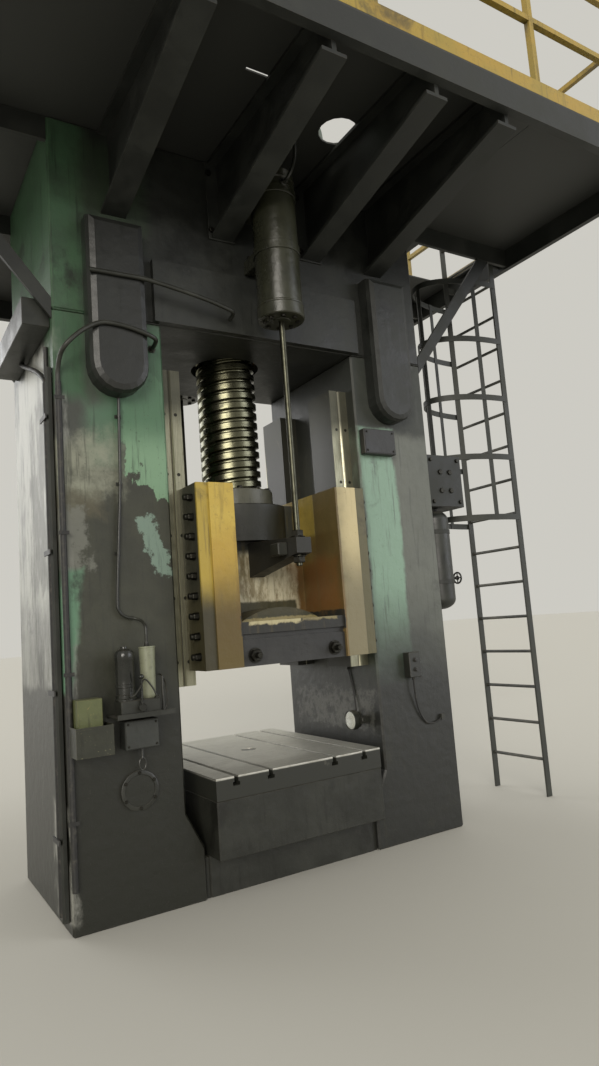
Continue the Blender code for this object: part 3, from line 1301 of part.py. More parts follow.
def build_accumulator():
    """Pressure accumulator on the right side with its cradles, manifold and shut-off valve."""
    wall = FRAME_HALF_X + SEAT
    dome = TANK_R * DOME_SHARE
    swell = [math.radians(a) for a in TANK_ARCS]
    profile = [(TANK_R * math.sin(t), TANK_BOTTOM + dome - dome * math.cos(t)) for t in swell]
    profile += [(TANK_R, TANK_TOP - dome), (TANK_NECK_R, TANK_TOP), (TANK_NECK_R, TANK_TOP + TANK_NECK),
                (0, TANK_TOP + TANK_NECK)]
    bm = bmesh.new()
    turned(bm, profile, (TANK_X, TANK_Y, 0), BARREL_STEPS, closed=False)
    tank = finish("accumulator", bm, DARK)
    cradles = bmesh.new()
    for z in STRAP_ZS:
        boxed(cradles, (wall, TANK_X - TANK_R / 2), (TANK_Y - STRAP_HALF, TANK_Y + STRAP_HALF),
              (z, z + STRAP_HEIGHT))
    combine(tank, cradles, "accumulator_cradles", "UNION")
    bm = bmesh.new()
    low = TANK_TOP + TANK_NECK + SEAT
    boxed(bm, (wall, MANIFOLD_X1), (MANIFOLD_Y0, MANIFOLD_Y1), (low, low + MANIFOLD_HEIGHT))
    soften(finish("manifold", bm, DARK), COVER_EDGE)
    face = TANK_X + TANK_R
    end = face + VALVE_BODY
    body = bmesh.new()
    rod(body, VALVE_BODY_R, (face - OVERRUN, TANK_Y, WHEEL_Z), (end, TANK_Y, WHEEL_Z), LEVER_SIDES)
    combine(tank, body, "tank_valve", "UNION")
    bore = bmesh.new()
    rod(bore, play(WHEEL_STEM_R, LEVER_SIDES), (face, TANK_Y, WHEEL_Z), (end + OVERRUN, TANK_Y, WHEEL_Z),
        LEVER_SIDES)
    combine(tank, bore, "tank_valve_bore")
    owner = axis_empty("wheel_axis", (end, TANK_Y, WHEEL_Z))
    bm = bmesh.new()
    rod(bm, WHEEL_STEM_R, (face + RUN, TANK_Y, WHEEL_Z), (end + WHEEL_STEM, TANK_Y, WHEEL_Z), LEVER_SIDES)
    item = finish("valve_handwheel", bm, DARK, owner)
    rim = bmesh.new()
    middle = end + WHEEL_STEM - WHEEL_TUBE
    turned(rim, [(WHEEL_R - WHEEL_TUBE, -WHEEL_TUBE), (WHEEL_R, -WHEEL_TUBE), (WHEEL_R, WHEEL_TUBE),
                 (WHEEL_R - WHEEL_TUBE, WHEEL_TUBE)], (middle, TANK_Y, WHEEL_Z), WHEEL_STEPS, axis=(1, 0, 0))
    combine(item, rim, "wheel_rim", "UNION")
    spokes = bmesh.new()
    bar = WHEEL_R - WHEEL_TUBE / 2
    boxed(spokes, (middle - SPOKE_HALF, middle + SPOKE_HALF), (TANK_Y - bar, TANK_Y + bar),
          (WHEEL_Z - SPOKE_HALF, WHEEL_Z + SPOKE_HALF))
    combine(item, spokes, "wheel_bar", "UNION")


# Work lamp

def build_lamp():
    """Work lamp on the right upright's inner face, in its forked bracket."""
    wall = DAYLIGHT_HALF - SEAT
    fork = LAMP_R + LAMP_GAP
    back = wall - LAMP_BASE_THICK
    pivot_x = back - LAMP_REACH
    tip = pivot_x - LAMP_EAR
    outer = fork + LAMP_BASE_THICK
    bm = bmesh.new()
    outline = [(wall, LAMP_Y - outer), (wall, LAMP_Y + outer), (tip, LAMP_Y + outer), (tip, LAMP_Y + fork),
               (back, LAMP_Y + fork), (back, LAMP_Y - fork), (tip, LAMP_Y - fork), (tip, LAMP_Y - outer)]
    prism(bm, outline, LAMP_Z - LAMP_BAND / 2, LAMP_Z + LAMP_BAND / 2)
    item = finish("lamp_bracket", bm, DARK)
    tools = bmesh.new()
    rod(tools, play(LAMP_PIVOT_R, BARREL_STEPS, SEAT), (pivot_x, LAMP_Y - outer - OVERRUN, LAMP_Z),
        (pivot_x, LAMP_Y + outer + OVERRUN, LAMP_Z), BARREL_STEPS)
    combine(item, tools, "lamp_bracket_bores")
    owner = axis_empty("lamp_axis", (pivot_x, LAMP_Y, LAMP_Z))
    bm = bmesh.new()
    front = LAMP_LENGTH - LAMP_TAIL
    turned(bm, [(0, -LAMP_TAIL), (LAMP_BACK_R, -LAMP_TAIL), (LAMP_R, 0), (LAMP_R, front),
                (LAMP_R - LAMP_RIM, front), (LAMP_R - LAMP_RIM, front - LAMP_RIM), (0, front - LAMP_RIM)],
           (pivot_x, LAMP_Y, LAMP_Z), BARREL_STEPS, axis=(-1, 0, 0), closed=False)
    item = finish("lamp_head", bm, DARK, owner)
    pins = bmesh.new()
    rod(pins, LAMP_PIVOT_R, (pivot_x, LAMP_Y - outer, LAMP_Z), (pivot_x, LAMP_Y + outer, LAMP_Z),
        BARREL_STEPS)
    combine(item, pins, "lamp_pins", "UNION")
    bm = bmesh.new()
    turned(bm, [(0, front - LAMP_RIM + SEAT), (LAMP_R - LAMP_RIM - SEAT, front - LAMP_RIM + SEAT),
                (LAMP_R - LAMP_RIM - SEAT, front), (0, front)],
           (pivot_x, LAMP_Y, LAMP_Z), BARREL_STEPS, axis=(-1, 0, 0), closed=False)
    finish("lamp_lens", bm, GLASS, owner)


# Pipes and cables

def build_pipes(cup):
    """Oil line, conduit, crown pipes and side duct on the frame."""
    wall = -(FRAME_HALF_Y + SEAT)
    y = wall - OIL_R - OIL_CLIP
    route = [(x, y, z) for x, z in OIL_ROUTE]
    route += [(cup[0], cup[1], cup[2] + rise) for rise in (2 * OIL_RISE, OIL_RISE, SEAT)]
    pipe("oil_line", route, OIL_R, BRONZE)
    face = -(FRAME_HALF_X + SEAT)
    x = face - CONDUIT_R
    pipe("corner_conduit", [(x, CONDUIT_Y, CONDUIT_LOW), (x, CONDUIT_Y, CONDUIT_HIGH)], CONDUIT_R, GREEN, 1)
    y = wall - BOSS_DEPTH - PIPE_R
    pipe("boss_pipe", [(x, y, z) for x, z in BOSS_ROUTE], PIPE_R, DARK)
    pipe("crown_pipe", [(x, y, z) for x, z in CROWN_ROUTE], PIPE_R, DARK)
    bm = bmesh.new()
    boxed(bm, (face - DUCT_WIDTH, face), (-DUCT_FRONT, DUCT_BACK), (DUCT_Z0, DUCT_Z0 + DUCT_HEIGHT))
    soften(finish("side_duct", bm, GREEN), COVER_EDGE)


def main():
    """Builds the whole press."""
    clear_scene()
    build_bed()
    build_bolster()
    build_ejector()
    build_uprights()
    build_crown()
    build_tie_rods()
    build_bearing()
    spindle_axis, seat = build_spindle()
    build_flywheel(spindle_axis, seat)
    build_guard()
    build_rails()
    slide_axis = axis_empty("slide_axis", (0, 0, SLIDE_BOTTOM))
    build_slide(slide_axis)
    build_gibs(slide_axis)
    build_nut(slide_axis)
    build_holder(slide_axis)
    build_cylinders()
    build_lift(slide_axis)
    build_platform_frame()
    build_railing(build_deck())
    build_ladder()
    build_pipes(build_lubricator())
    build_tray()
    build_right_boxes()
    build_accumulator()
    build_lamp()
    bpy.context.view_layer.update()


main()
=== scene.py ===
"""Looks of the forging press: finishes for every CAD node, smooth turned pieces, fittings, camera and light."""
import logging
import math
from collections.abc import Iterable, Sequence
from dataclasses import dataclass
from enum import Enum
from functools import cache, reduce
from operator import add

import bmesh
import bpy
import numpy as np
from mathutils import Matrix, Vector


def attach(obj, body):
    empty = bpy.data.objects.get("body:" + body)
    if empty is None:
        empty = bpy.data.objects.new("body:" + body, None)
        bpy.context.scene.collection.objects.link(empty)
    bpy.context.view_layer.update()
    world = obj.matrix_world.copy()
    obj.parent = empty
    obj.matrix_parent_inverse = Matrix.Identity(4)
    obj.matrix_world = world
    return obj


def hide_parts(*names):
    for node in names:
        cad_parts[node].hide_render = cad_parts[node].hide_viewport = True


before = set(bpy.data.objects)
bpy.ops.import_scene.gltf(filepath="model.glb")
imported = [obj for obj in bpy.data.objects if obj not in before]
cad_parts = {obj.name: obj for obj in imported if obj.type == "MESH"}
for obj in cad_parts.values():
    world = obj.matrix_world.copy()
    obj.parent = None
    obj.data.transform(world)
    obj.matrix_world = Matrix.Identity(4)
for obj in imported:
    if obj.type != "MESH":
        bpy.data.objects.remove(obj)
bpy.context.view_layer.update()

LOG = logging.getLogger("press")
Point = tuple[float, float, float]
Profile = Sequence[tuple[float, float]]
Socket = bpy.types.NodeSocket

# Places of the sockets on the mix node, for colours and for numbers
MIX_FACTOR, MIX_A, MIX_B, MIX_OUT = 0, 6, 7, 2
NUMBER_A, NUMBER_B, NUMBER_OUT = 2, 3, 0
ORIGIN, UPWARD = (0.0, 0.0, 0.0), (0.0, 0.0, 1.0)
FULL_TURN = 2 * math.pi
QUARTER_TURN = math.pi / 2
# Points closer than this, in metres, become one
WELD_GAP = 0.00002
# Faces that meet at more than this keep a crisp edge
SHARP_ANGLE = math.radians(32)


class Body(str, Enum):
    """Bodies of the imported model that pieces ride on."""

    FRAME = "frame"
    SLIDE = "slide"
    SPINDLE = "spindle"
    LEVER = "lubricator_lever"
    LAMP = "lamp"
    WHEEL = "valve_wheel"


class Axis(Enum):
    """Direction that a turned or repeated shape points along."""

    X = (1.0, 0.0, 0.0)
    Y = (0.0, 1.0, 0.0)
    Z = (0.0, 0.0, 1.0)
    LEFT = (-1.0, 0.0, 0.0)
    FRONT = (0.0, -1.0, 0.0)
    DOWN = (0.0, 0.0, -1.0)


# The front and the rear of the press, and its left and right, with the sign and the outward direction of each
ENDS = (("front", -1, Axis.FRONT), ("rear", 1, Axis.Y))
SIDES = (("left", -1, Axis.LEFT), ("right", 1, Axis.X))


# Colours and nodes

def linear(code: str) -> tuple[float, float, float, float]:
    """Turns an sRGB hex colour into linear light.

    Args:
        code: six hex digits, with or without a hash.

    Returns:
        Linear red, green, blue and alpha 1.
    """
    raw = np.array([int(code.lstrip("#")[i:i + 2], 16) for i in (0, 2, 4)]) / 255
    value = np.where(raw <= 0.04045, raw / 12.92, ((raw + 0.055) / 1.055) ** 2.4)
    return (*value.tolist(), 1.0)


def add_node(tree: bpy.types.NodeTree, kind: str, inputs: dict | None = None,
             **settings: object) -> bpy.types.Node:
    """Adds a shader node with its settings, values and links.

    Args:
        tree: node tree that gets the node.
        kind: Blender's name of the node type.
        inputs: socket name or index to a value, a hex colour or an output to link.
        settings: attributes of the node.

    Returns:
        The new node.
    """
    node = tree.nodes.new(kind)
    for key, value in settings.items():
        setattr(node, key, value)
    for key, value in (inputs or {}).items():
        if isinstance(value, Socket):
            tree.links.new(value, node.inputs[key])
        else:
            node.inputs[key].default_value = linear(value) if isinstance(value, str) else value
    return node


@dataclass(frozen=True)
class Patch:
    """A ragged block of space, in metres, in which a surface has another colour. Lean moves it along x, and
    slope along z, by so many metres a metre of height or of width. Streak under 1 draws its noise out in z."""

    low: Point
    high: Point
    colour: str
    rough: float = 0.6
    fade: float = 0.06
    ragged: float = 0.08
    grain: float = 0.22
    strength: float = 1.0
    metal: float = 0.0
    lean: float = 0.0
    slope: float = 0.0
    streak: float = 1.0


class Coat:
    """Layers of colour, gloss and metal laid one over another in one material."""

    def __init__(self, name: str, colour: str, rough: float, metal: float = 0.0) -> None:
        """Starts a material from its plain ground coat."""
        self.material = bpy.data.materials.new(name)
        self.material.use_nodes = True
        self.tree = self.material.node_tree
        self.shader = self.tree.nodes["Principled BSDF"]
        self.place = self.add("ShaderNodeTexCoord").outputs["Object"]
        self.shader.inputs["Base Color"].default_value = linear(colour)
        self.shader.inputs["Roughness"].default_value = rough
        self.shader.inputs["Metallic"].default_value = metal
        self.material.diffuse_color = linear(colour)
        self.state: dict[str, object] = {"Base Color": linear(colour), "Roughness": rough, "Metallic": metal}
        self.heights: list[tuple[Socket, float]] = []

    def add(self, kind: str, inputs: dict | None = None, **settings: object) -> bpy.types.Node:
        """Adds a node to this material."""
        return add_node(self.tree, kind, inputs, **settings)

    def calc(self, operation: str, *values: Socket | float) -> Socket:
        """Returns what an operation makes of numbers."""
        return self.add("ShaderNodeMath", dict(enumerate(values)), operation=operation).outputs[0]

    def vector(self, operation: str, *values: Socket | Point) -> Socket:
        """Returns what an operation makes of vectors."""
        return self.add("ShaderNodeVectorMath", dict(enumerate(values)), operation=operation).outputs[0]

    def parts(self, value: Socket) -> Sequence[Socket]:
        """Returns the x, y and z of a vector."""
        return self.add("ShaderNodeSeparateXYZ", {0: value}).outputs

    def stretched(self, scale: Point) -> Socket:
        """Returns the place in metres with each direction scaled, so that a noise in it is drawn out."""
        return self.add("ShaderNodeMapping", {"Vector": self.place, "Scale": scale}).outputs[0]

    def noise(self, scale: float, detail: float = 2.0, rough: float = 0.5, at: Socket | None = None,
              warp: float = 0.0, output: str | int = 0) -> Socket:
        """Returns a cloudy pattern.

        Args:
            scale: how many of its shapes fit in a metre.
            detail: number of finer layers in it.
            rough: strength of each finer layer in the one above.
            at: place that it is read at, or None for the plain place in metres.
            warp: how much it is bent out of shape.
            output: the noise node's output, a number or a colour.

        Returns:
            The pattern, which lies about 0.5.
        """
        inputs = {"Vector": self.place if at is None else at, "Scale": scale, "Detail": detail,
                  "Roughness": rough, "Distortion": warp}
        return self.add("ShaderNodeTexNoise", inputs).outputs[output]

    def between(self, value: Socket, low: float, high: float, reach: float = 1.0) -> Socket:
        """Returns a smooth step of a value, from 0 at low to reach at high."""
        inputs = {"Value": value, "From Min": low, "From Max": high, "To Max": reach}
        return self.add("ShaderNodeMapRange", inputs, interpolation_type="SMOOTHSTEP").outputs["Result"]

    def cover(self, mask: Socket, colour: str, rough: float | None = None, metal: float | None = None) -> None:
        """Lays a coat over what is there, where the mask says.

        Args:
            mask: 0 where the old coat shows, 1 where the new one does.
            colour: hex colour of the new coat.
            rough: its roughness, or None to keep the old one.
            metal: its metallic value, or None to keep the old one.
        """
        node = self.add("ShaderNodeMix", {MIX_FACTOR: mask, MIX_A: self.state["Base Color"], MIX_B: colour},
                        data_type="RGBA")
        self.state["Base Color"] = node.outputs[MIX_OUT]
        for key, value in (("Roughness", rough), ("Metallic", metal)):
            if value is not None and self.state[key] != value:
                inputs = {MIX_FACTOR: mask, NUMBER_A: self.state[key], NUMBER_B: value}
                self.state[key] = self.add("ShaderNodeMix", inputs).outputs[NUMBER_OUT]

    def lay(self, patches: Iterable[Patch]) -> None:
        """Lays the patches one over another."""
        for patch in patches:
            self.cover(self.patch(patch), patch.colour, patch.rough, patch.metal)

    def times(self, *values: Socket | float) -> Socket:
        """Returns the product of several masks."""
        return reduce(lambda total, value: self.calc("MULTIPLY", total, value), values)

    def patch(self, patch: Patch) -> Socket:
        """Mask of a patch: how far inside its box a place lies, which is the least of the distances to the
        faces, in a space that noise has pushed about. Lean and slope shear that space."""
        low, high = np.array(patch.low), np.array(patch.high)
        drawn = self.place if patch.streak == 1.0 else self.stretched((1.0, 1.0, patch.streak))
        wander = self.noise(1 / patch.grain, 6.0, 0.68, drawn, output="Color")
        pushed = self.vector("SUBTRACT", wander, (0.5, 0.5, 0.5))
        moved = self.vector("MULTIPLY_ADD", pushed, (2 * patch.ragged,) * 3, self.place)
        about = self.vector("SUBTRACT", moved, tuple((low + high) / 2))
        if patch.lean or patch.slope:
            x, y, z = self.parts(about)
            across = self.calc("MULTIPLY_ADD", z, -patch.lean, x)
            height = self.calc("MULTIPLY_ADD", x, -patch.slope, z)
            about = self.add("ShaderNodeCombineXYZ", {0: across, 1: y, 2: height}).outputs[0]
        inside = self.vector("SUBTRACT", tuple((high - low) / 2), self.vector("ABSOLUTE", about))
        least = reduce(lambda total, value: self.calc("MINIMUM", total, value), self.parts(inside))
        return self.between(least, -patch.fade / 2, patch.fade / 2, patch.strength)

    def edges(self, radius: float) -> Socket:
        """Mask of the outer and inner edges: how far a rounded normal leans from the true one."""
        rounded = self.add("ShaderNodeBevel", {"Radius": radius}, samples=4).outputs[0]
        true = self.add("ShaderNodeNewGeometry").outputs["Normal"]
        dot = self.add("ShaderNodeVectorMath", {0: rounded, 1: true}, operation="DOT_PRODUCT")
        return self.between(dot.outputs["Value"], 0.995, 0.90)

    def facing_up(self) -> Socket:
        """Mask of surfaces that face the sky, where dust settles."""
        normal = self.add("ShaderNodeNewGeometry").outputs["Normal"]
        return self.between(self.parts(normal)[2], 0.55, 0.95)

    def close(self) -> bpy.types.Material:
        """Joins the coats and the heights to the shader and returns the material."""
        for key, value in self.state.items():
            if isinstance(value, Socket):
                self.tree.links.new(value, self.shader.inputs[key])
        normal = None
        for height, depth in self.heights:
            inputs = {"Height": height, "Distance": depth, "Strength": 1.0}
            if normal is not None:
                inputs["Normal"] = normal
            normal = self.add("ShaderNodeBump", inputs).outputs[0]
        if normal is not None:
            self.tree.links.new(normal, self.shader.inputs["Normal"])
        return self.material


# Finishes

@dataclass(frozen=True)
class Enamel:
    """Machine enamel brushed over filler on castings and plate. It gives a satin, slightly lumpy skin,
    faded in drifts, run down with old oil and chipped to dark metal along the edges."""

    name: str
    colour: str
    faded: str
    grime: str
    rough: float = 0.5
    dirt: float = 0.45
    wear: float = 0.6
    edge: float = 0.006
    dust: float = 0.35
    runs: float = 0.5
    bare: str = "#4a4843"
    patches: tuple[Patch, ...] = ()

    def build(self) -> bpy.types.Material:
        """Builds the material."""
        coat = Coat(self.name, self.colour, self.rough)
        # Fading drifts over about 300 mm
        coat.cover(coat.between(coat.noise(3.3, 6.0, 0.6), 0.38, 0.66), self.faded, self.rough + 0.1)
        # Brush and roller mottle of about 25 mm
        coat.cover(coat.between(coat.noise(40.0, 5.0, 0.7), 0.52, 0.74, 0.35), self.grime, self.rough + 0.08)
        # Patches of other colour; on some castings these include painted light and painted shade
        coat.lay(self.patches)
        # Oil that has crept over the faces, in shapes of about 450 mm
        creep = coat.noise(2.2, 9.0, 0.68, warp=0.4)
        creeping = coat.between(creep, 0.66 - 0.36 * self.dirt, 0.78 - 0.3 * self.dirt, 0.82)
        coat.cover(creeping, self.grime, 0.42)
        # Runs: streaks about 30 mm wide and fifteen times as tall
        run = coat.noise(32.0, 4.0, 0.65, coat.stretched((1.0, 1.0, 0.065)))
        coat.cover(coat.between(run, 0.54, 0.70, self.runs), self.grime, 0.36)
        # Chips of 3 to 12 mm, and the worn edges
        coat.cover(coat.between(coat.noise(85.0, 3.0), 0.69, 0.72, self.wear), self.bare, 0.45, 0.6)
        rub = coat.noise(22.0, 6.0, 0.7)
        worn = coat.times(coat.edges(self.edge), coat.between(rub, 0.40, 0.60, self.wear))
        coat.cover(worn, self.bare, 0.4, 0.7)
        # Dust on what faces up
        coat.cover(coat.times(coat.facing_up(), coat.between(rub, 0.30, 0.55, self.dust)), "#6d675b", 0.85, 0.0)
        # Filler waves of about 60 mm, an orange peel of about 6 mm, and the thickness of the runs
        coat.heights += [(coat.noise(15.0), 0.003), (coat.noise(160.0, 3.0), 0.0006), (run, 0.0002)]
        return coat.close()


@dataclass(frozen=True)
class BareSteel:
    """Steel left bare: ground, turned or sawn, under a film of oil. It gives a fine lay of scratches in one
    direction, a broken highlight across them, and brown-black oil where nothing rubs."""

    name: str
    colour: str
    oil: str
    rough: float
    lay: Point
    lay_scale: float
    film: float
    pits: float = 0.3
    patches: tuple[Patch, ...] = ()

    def build(self) -> bpy.types.Material:
        """Builds the material."""
        coat = Coat(self.name, self.colour, self.rough, 1.0)
        # Tool marks, drawn out by the lay and wide enough apart to show
        marks = coat.noise(self.lay_scale, 6.0, 0.7, coat.stretched(self.lay))
        coat.cover(coat.between(marks, 0.40, 0.68, 0.5), self.oil, self.rough + 0.18)
        # Patches of other colour; on the rails and the bolster these include painted light and painted shade
        coat.lay(self.patches)
        # Oil film in shapes of about 200 mm
        film = coat.noise(5.0, 8.0, 0.7, warp=0.6)
        filmed = coat.between(film, 0.68 - 0.4 * self.film, 0.80 - 0.34 * self.film, 0.85)
        coat.cover(filmed, self.oil, 0.33, 0.75)
        # Pits and specks of about 5 mm
        speck = coat.noise(190.0)
        coat.cover(coat.between(speck, 0.66, 0.70, self.pits), "#2a2621", 0.7, 0.2)
        coat.heights += [(marks, 0.0003), (speck, 0.0002)]
        return coat.close()


@dataclass(frozen=True)
class OilyPaint:
    """Dark paint on fabricated steel that years of oil mist and dust have covered. It gives a near black skin
    with a dull sheen, grey dust on top and rust at the edges."""

    name: str
    colour: str
    faded: str
    rough: float = 0.55
    dust: float = 0.5
    rust: float = 0.3
    edge: float = 0.004

    def build(self) -> bpy.types.Material:
        """Builds the material."""
        coat = Coat(self.name, self.colour, self.rough)
        # Fading drifts over about 250 mm
        drift = coat.noise(4.0, 7.0, 0.65)
        coat.cover(coat.between(drift, 0.42, 0.64), self.faded, self.rough + 0.15)
        # Oil spatter of about 15 mm
        fine = coat.noise(70.0, 4.0, 0.7)
        coat.cover(coat.between(fine, 0.55, 0.75, 0.5), "#1a1a18", 0.4)
        # Rust along the edges, and dust on what faces up
        rub = coat.noise(26.0, 5.0, 0.7)
        coat.cover(coat.times(coat.edges(self.edge), coat.between(rub, 0.42, 0.62, self.rust)), "#5a4634", 0.75)
        coat.cover(coat.times(coat.facing_up(), coat.between(rub, 0.30, 0.55, self.dust)), "#67635a", 0.9)
        coat.heights += [(fine, 0.0006), (drift, 0.002)]
        return coat.close()


@dataclass(frozen=True)
class Casting:
    """Cast bronze, turned where it works. It gives a brown gold with darker oil in the turning marks."""

    name: str
    colour: str
    oil: str
    rough: float = 0.38

    def build(self) -> bpy.types.Material:
        """Builds the material."""
        coat = Coat(self.name, self.colour, self.rough, 1.0)
        # Turning marks about 2 mm apart
        marks = coat.noise(14.0, 5.0, at=coat.stretched((1.0, 1.0, 30.0)))
        coat.cover(coat.between(marks, 0.42, 0.62, 0.6), self.oil, 0.5)
        # Oil film in shapes of about 140 mm
        coat.cover(coat.between(coat.noise(7.0, 8.0, 0.7), 0.46, 0.62, 0.9), self.oil, 0.4, 0.5)
        coat.heights.append((marks, 0.0003))
        return coat.close()


@dataclass(frozen=True)
class TreadPlate:
    """Hot-rolled chequer plate, with raised lens-shaped ribs in a basket weave. It gives dull dark steel whose
    ribs are rubbed bright by boots."""

    name: str
    colour: str = "#2f302d"
    bright: str = "#77756e"
    pitch: float = 0.032

    def build(self) -> bpy.types.Material:
        """Builds the material. A rib is where the product of two sines is high. One of the two is cubed, which
        makes the rib slim, and in a chequerboard they take turns at that."""
        coat = Coat(self.name, self.colour, 0.6)
        diagonal = coat.add("ShaderNodeMapping", {"Vector": coat.place, "Rotation": (0.0, 0.0, math.pi / 4),
                                                  "Scale": (1 / self.pitch,) * 3}).outputs[0]
        checks = coat.add("ShaderNodeTexChecker", {"Vector": diagonal, "Scale": 1.0, "Color1": "#ffffff",
                                                   "Color2": "#000000"}).outputs["Fac"]
        parts = coat.parts(diagonal)
        ribs = []
        for powers in ((1.0, 3.0), (3.0, 1.0)):
            sines = [coat.calc("SINE", coat.calc("MULTIPLY", part, math.pi)) for part in parts[:2]]
            waves = [coat.calc("POWER", coat.calc("ABSOLUTE", s), power) for s, power in zip(sines, powers)]
            ribs.append(coat.between(coat.times(*waves), 0.35, 0.75))
        chosen = coat.add("ShaderNodeMix", {MIX_FACTOR: checks, NUMBER_A: ribs[0], NUMBER_B: ribs[1]})
        flat = coat.facing_up()
        rib = coat.times(chosen.outputs[NUMBER_OUT], flat)
        # Dust in shapes of about 400 mm, and the boots' polish on the ribs
        rub = coat.noise(2.4, 6.0)
        coat.cover(coat.times(flat, coat.between(rub, 0.35, 0.6, 0.5)), "#5b564b", 0.85)
        coat.cover(coat.times(rib, coat.between(rub, 0.40, 0.60, 0.8)), self.bright, 0.35, 0.9)
        coat.heights.append((rib, 0.0016))
        return coat.close()


@dataclass(frozen=True)
class Moulded:
    """Moulded plastic or rubber: cable sheath, hose cover, switch cap. It gives an even matt skin with dust."""

    name: str
    colour: str
    rough: float = 0.55
    dust: float = 0.4

    def build(self) -> bpy.types.Material:
        """Builds the material."""
        coat = Coat(self.name, self.colour, self.rough)
        coat.shader.inputs["IOR"].default_value = 1.5
        coat.cover(coat.between(coat.noise(30.0, 6.0, 0.7), 0.48, 0.70, self.dust), "#57534a", 0.85)
        coat.heights.append((coat.noise(600.0), 0.0002))
        return coat.close()


@dataclass(frozen=True)
class LampGlass:
    """Pressed borosilicate lamp glass, fluted inside. It gives a milky, dusty, grey-white disc."""

    name: str

    def build(self) -> bpy.types.Material:
        """Builds the material."""
        coat = Coat(self.name, "#d9dbd2", 0.22)
        coat.shader.inputs["IOR"].default_value = 1.47
        coat.shader.inputs["Transmission Weight"].default_value = 0.25
        coat.cover(coat.between(coat.noise(45.0, 5.0), 0.50, 0.72, 0.55), "#8f8b7c", 0.6)
        flutes = coat.add("ShaderNodeTexWave", {"Vector": coat.place, "Scale": 60.0}, wave_type="BANDS",
                          bands_direction="Z").outputs["Fac"]
        coat.heights.append((flutes, 0.0008))
        return coat.close()


Finish = Enamel | BareSteel | OilyPaint | Casting | TreadPlate | Moulded | LampGlass

LEFT_UPRIGHT_PATCHES = (
    Patch((-1.50, -0.66, 2.72), (-0.70, 0.70, 3.62), "#3d403b", 0.5, 0.20, 0.10),
    Patch((-2.10, -1.30, -0.7), (-0.10, 1.30, 1.25), "#1e1f19", 0.40, 0.50, 0.15),
    # Pale grey over the left side face: painted light, the side lit strongly from the left
    Patch((-1.90, -0.90, 1.30), (-1.40, 1.00, 3.42), "#a2a39c", 0.5, 0.08, 0.16, 0.25, 0.95, streak=0.3),
    Patch((-1.90, -0.45, 1.90), (-1.40, 0.10, 3.10), "#4a4a43", 0.55, 0.10, 0.24, 0.16, 0.7, streak=0.4),
    Patch((-1.90, -0.90, 1.00), (-1.40, 1.00, 1.80), "#3a3a34", 0.5, 0.30, 0.25, 0.12, 0.7, streak=0.3),
    Patch((-1.60, -0.80, 0.70), (-1.41, -0.50, 3.30), "#262621", 0.5, 0.03, 0.03, 0.2, 0.9, streak=0.3),
    Patch((-1.45, -0.66, 3.02), (-1.25, -0.40, 3.70), "#35533a", 0.5, 0.12, 0.06, 0.2),
    Patch((-1.25, -0.66, 2.62), (-1.05, -0.50, 2.98), "#4b6651", 0.5, 0.12, 0.06, 0.2, 0.85),
    Patch((-1.46, -0.66, 2.43), (-1.06, -0.50, 2.78), "#838575", 0.48, 0.16, 0.16, 0.14, 0.9, slope=0.25),
    Patch((-1.46, -0.66, 2.30), (-1.18, -0.50, 2.45), "#4d4938", 0.48, 0.10, 0.10, 0.14, 0.8),
    Patch((-1.46, -0.66, 1.98), (-1.28, -0.50, 2.34), "#64655d", 0.5, 0.06, 0.18, 0.09, 0.85),
    Patch((-1.04, -0.66, 2.45), (-0.69, 0.10, 3.22), "#6f8d71", 0.42, 0.015, 0.14, 0.10, slope=-0.55,
          streak=0.7),
    Patch((-1.14, -0.90, 2.80), (-0.44, 0.30, 3.55), "#3d5e45", 0.42, 0.25, 0.06, 0.2, 0.85),
    Patch((-0.915, -0.66, 1.93), (-0.805, -0.40, 2.30), "#6f8376", 0.45, 0.02, 0.10, 0.07, 0.9, lean=-0.37),
    Patch((-1.47, -0.66, 1.30), (-1.35, -0.40, 1.99), "#56775f", 0.45, 0.05, 0.05, 0.14, lean=0.13),
    # Pale grey low on the left side face: painted light, as on the side face above
    Patch((-1.50, -0.60, 0.06), (-1.425, -0.25, 0.66), "#86867f", 0.5, 0.06, 0.14, 0.16, 0.9, streak=0.5),
)
RIGHT_UPRIGHT_PATCHES = (
    # Darker band just under the crown: painted shade, the crown's shadow on the upright
    Patch((0.70, -0.66, 2.98), (1.50, 0.70, 3.70), "#2f322d", 0.6, 0.12, 0.08),
    Patch((1.06, -0.66, 1.45), (1.50, 0.70, 2.95), "#5f625b", 0.55, 0.15, 0.10),
    Patch((0.76, -0.80, 1.10), (1.08, -0.40, 3.00), "#748f7c", 0.42, 0.04, 0.07, 0.25, streak=0.5),
    Patch((0.55, -1.10, 0.20), (1.35, -0.10, 1.62), "#333630", 0.45, 0.60, 0.10, 0.2, 0.8, streak=0.5),
    # Inner face of the right upright at the opening, darkened: painted shade
    Patch((0.70, -0.60, 1.30), (0.76, 0.60, 3.60), "#282a26", 0.5, 0.10, 0.03),
    Patch((0.10, -1.30, -0.7), (2.10, 1.30, 1.25), "#222320", 0.42, 0.50, 0.15),
    Patch((0.70, -0.55, 0.80), (0.76, 0.50, 1.06), "#63635e", 0.45, 0.06, 0.16, 0.07, 0.6),
)
CROWN_PATCHES = (
    Patch((-1.50, -0.64, 3.45), (-1.24, 0.70, 4.80), "#3c5a40", 0.5, 0.15, 0.08),
    Patch((-1.24, -0.64, 4.10), (-0.85, -0.40, 4.70), "#33432f", 0.55, 0.20, 0.12, 0.3, 0.8),
    Patch((-1.25, -0.78, 3.00), (-0.87, -0.63, 4.20), "#1f201e", 0.40, 0.05, 0.05),
)
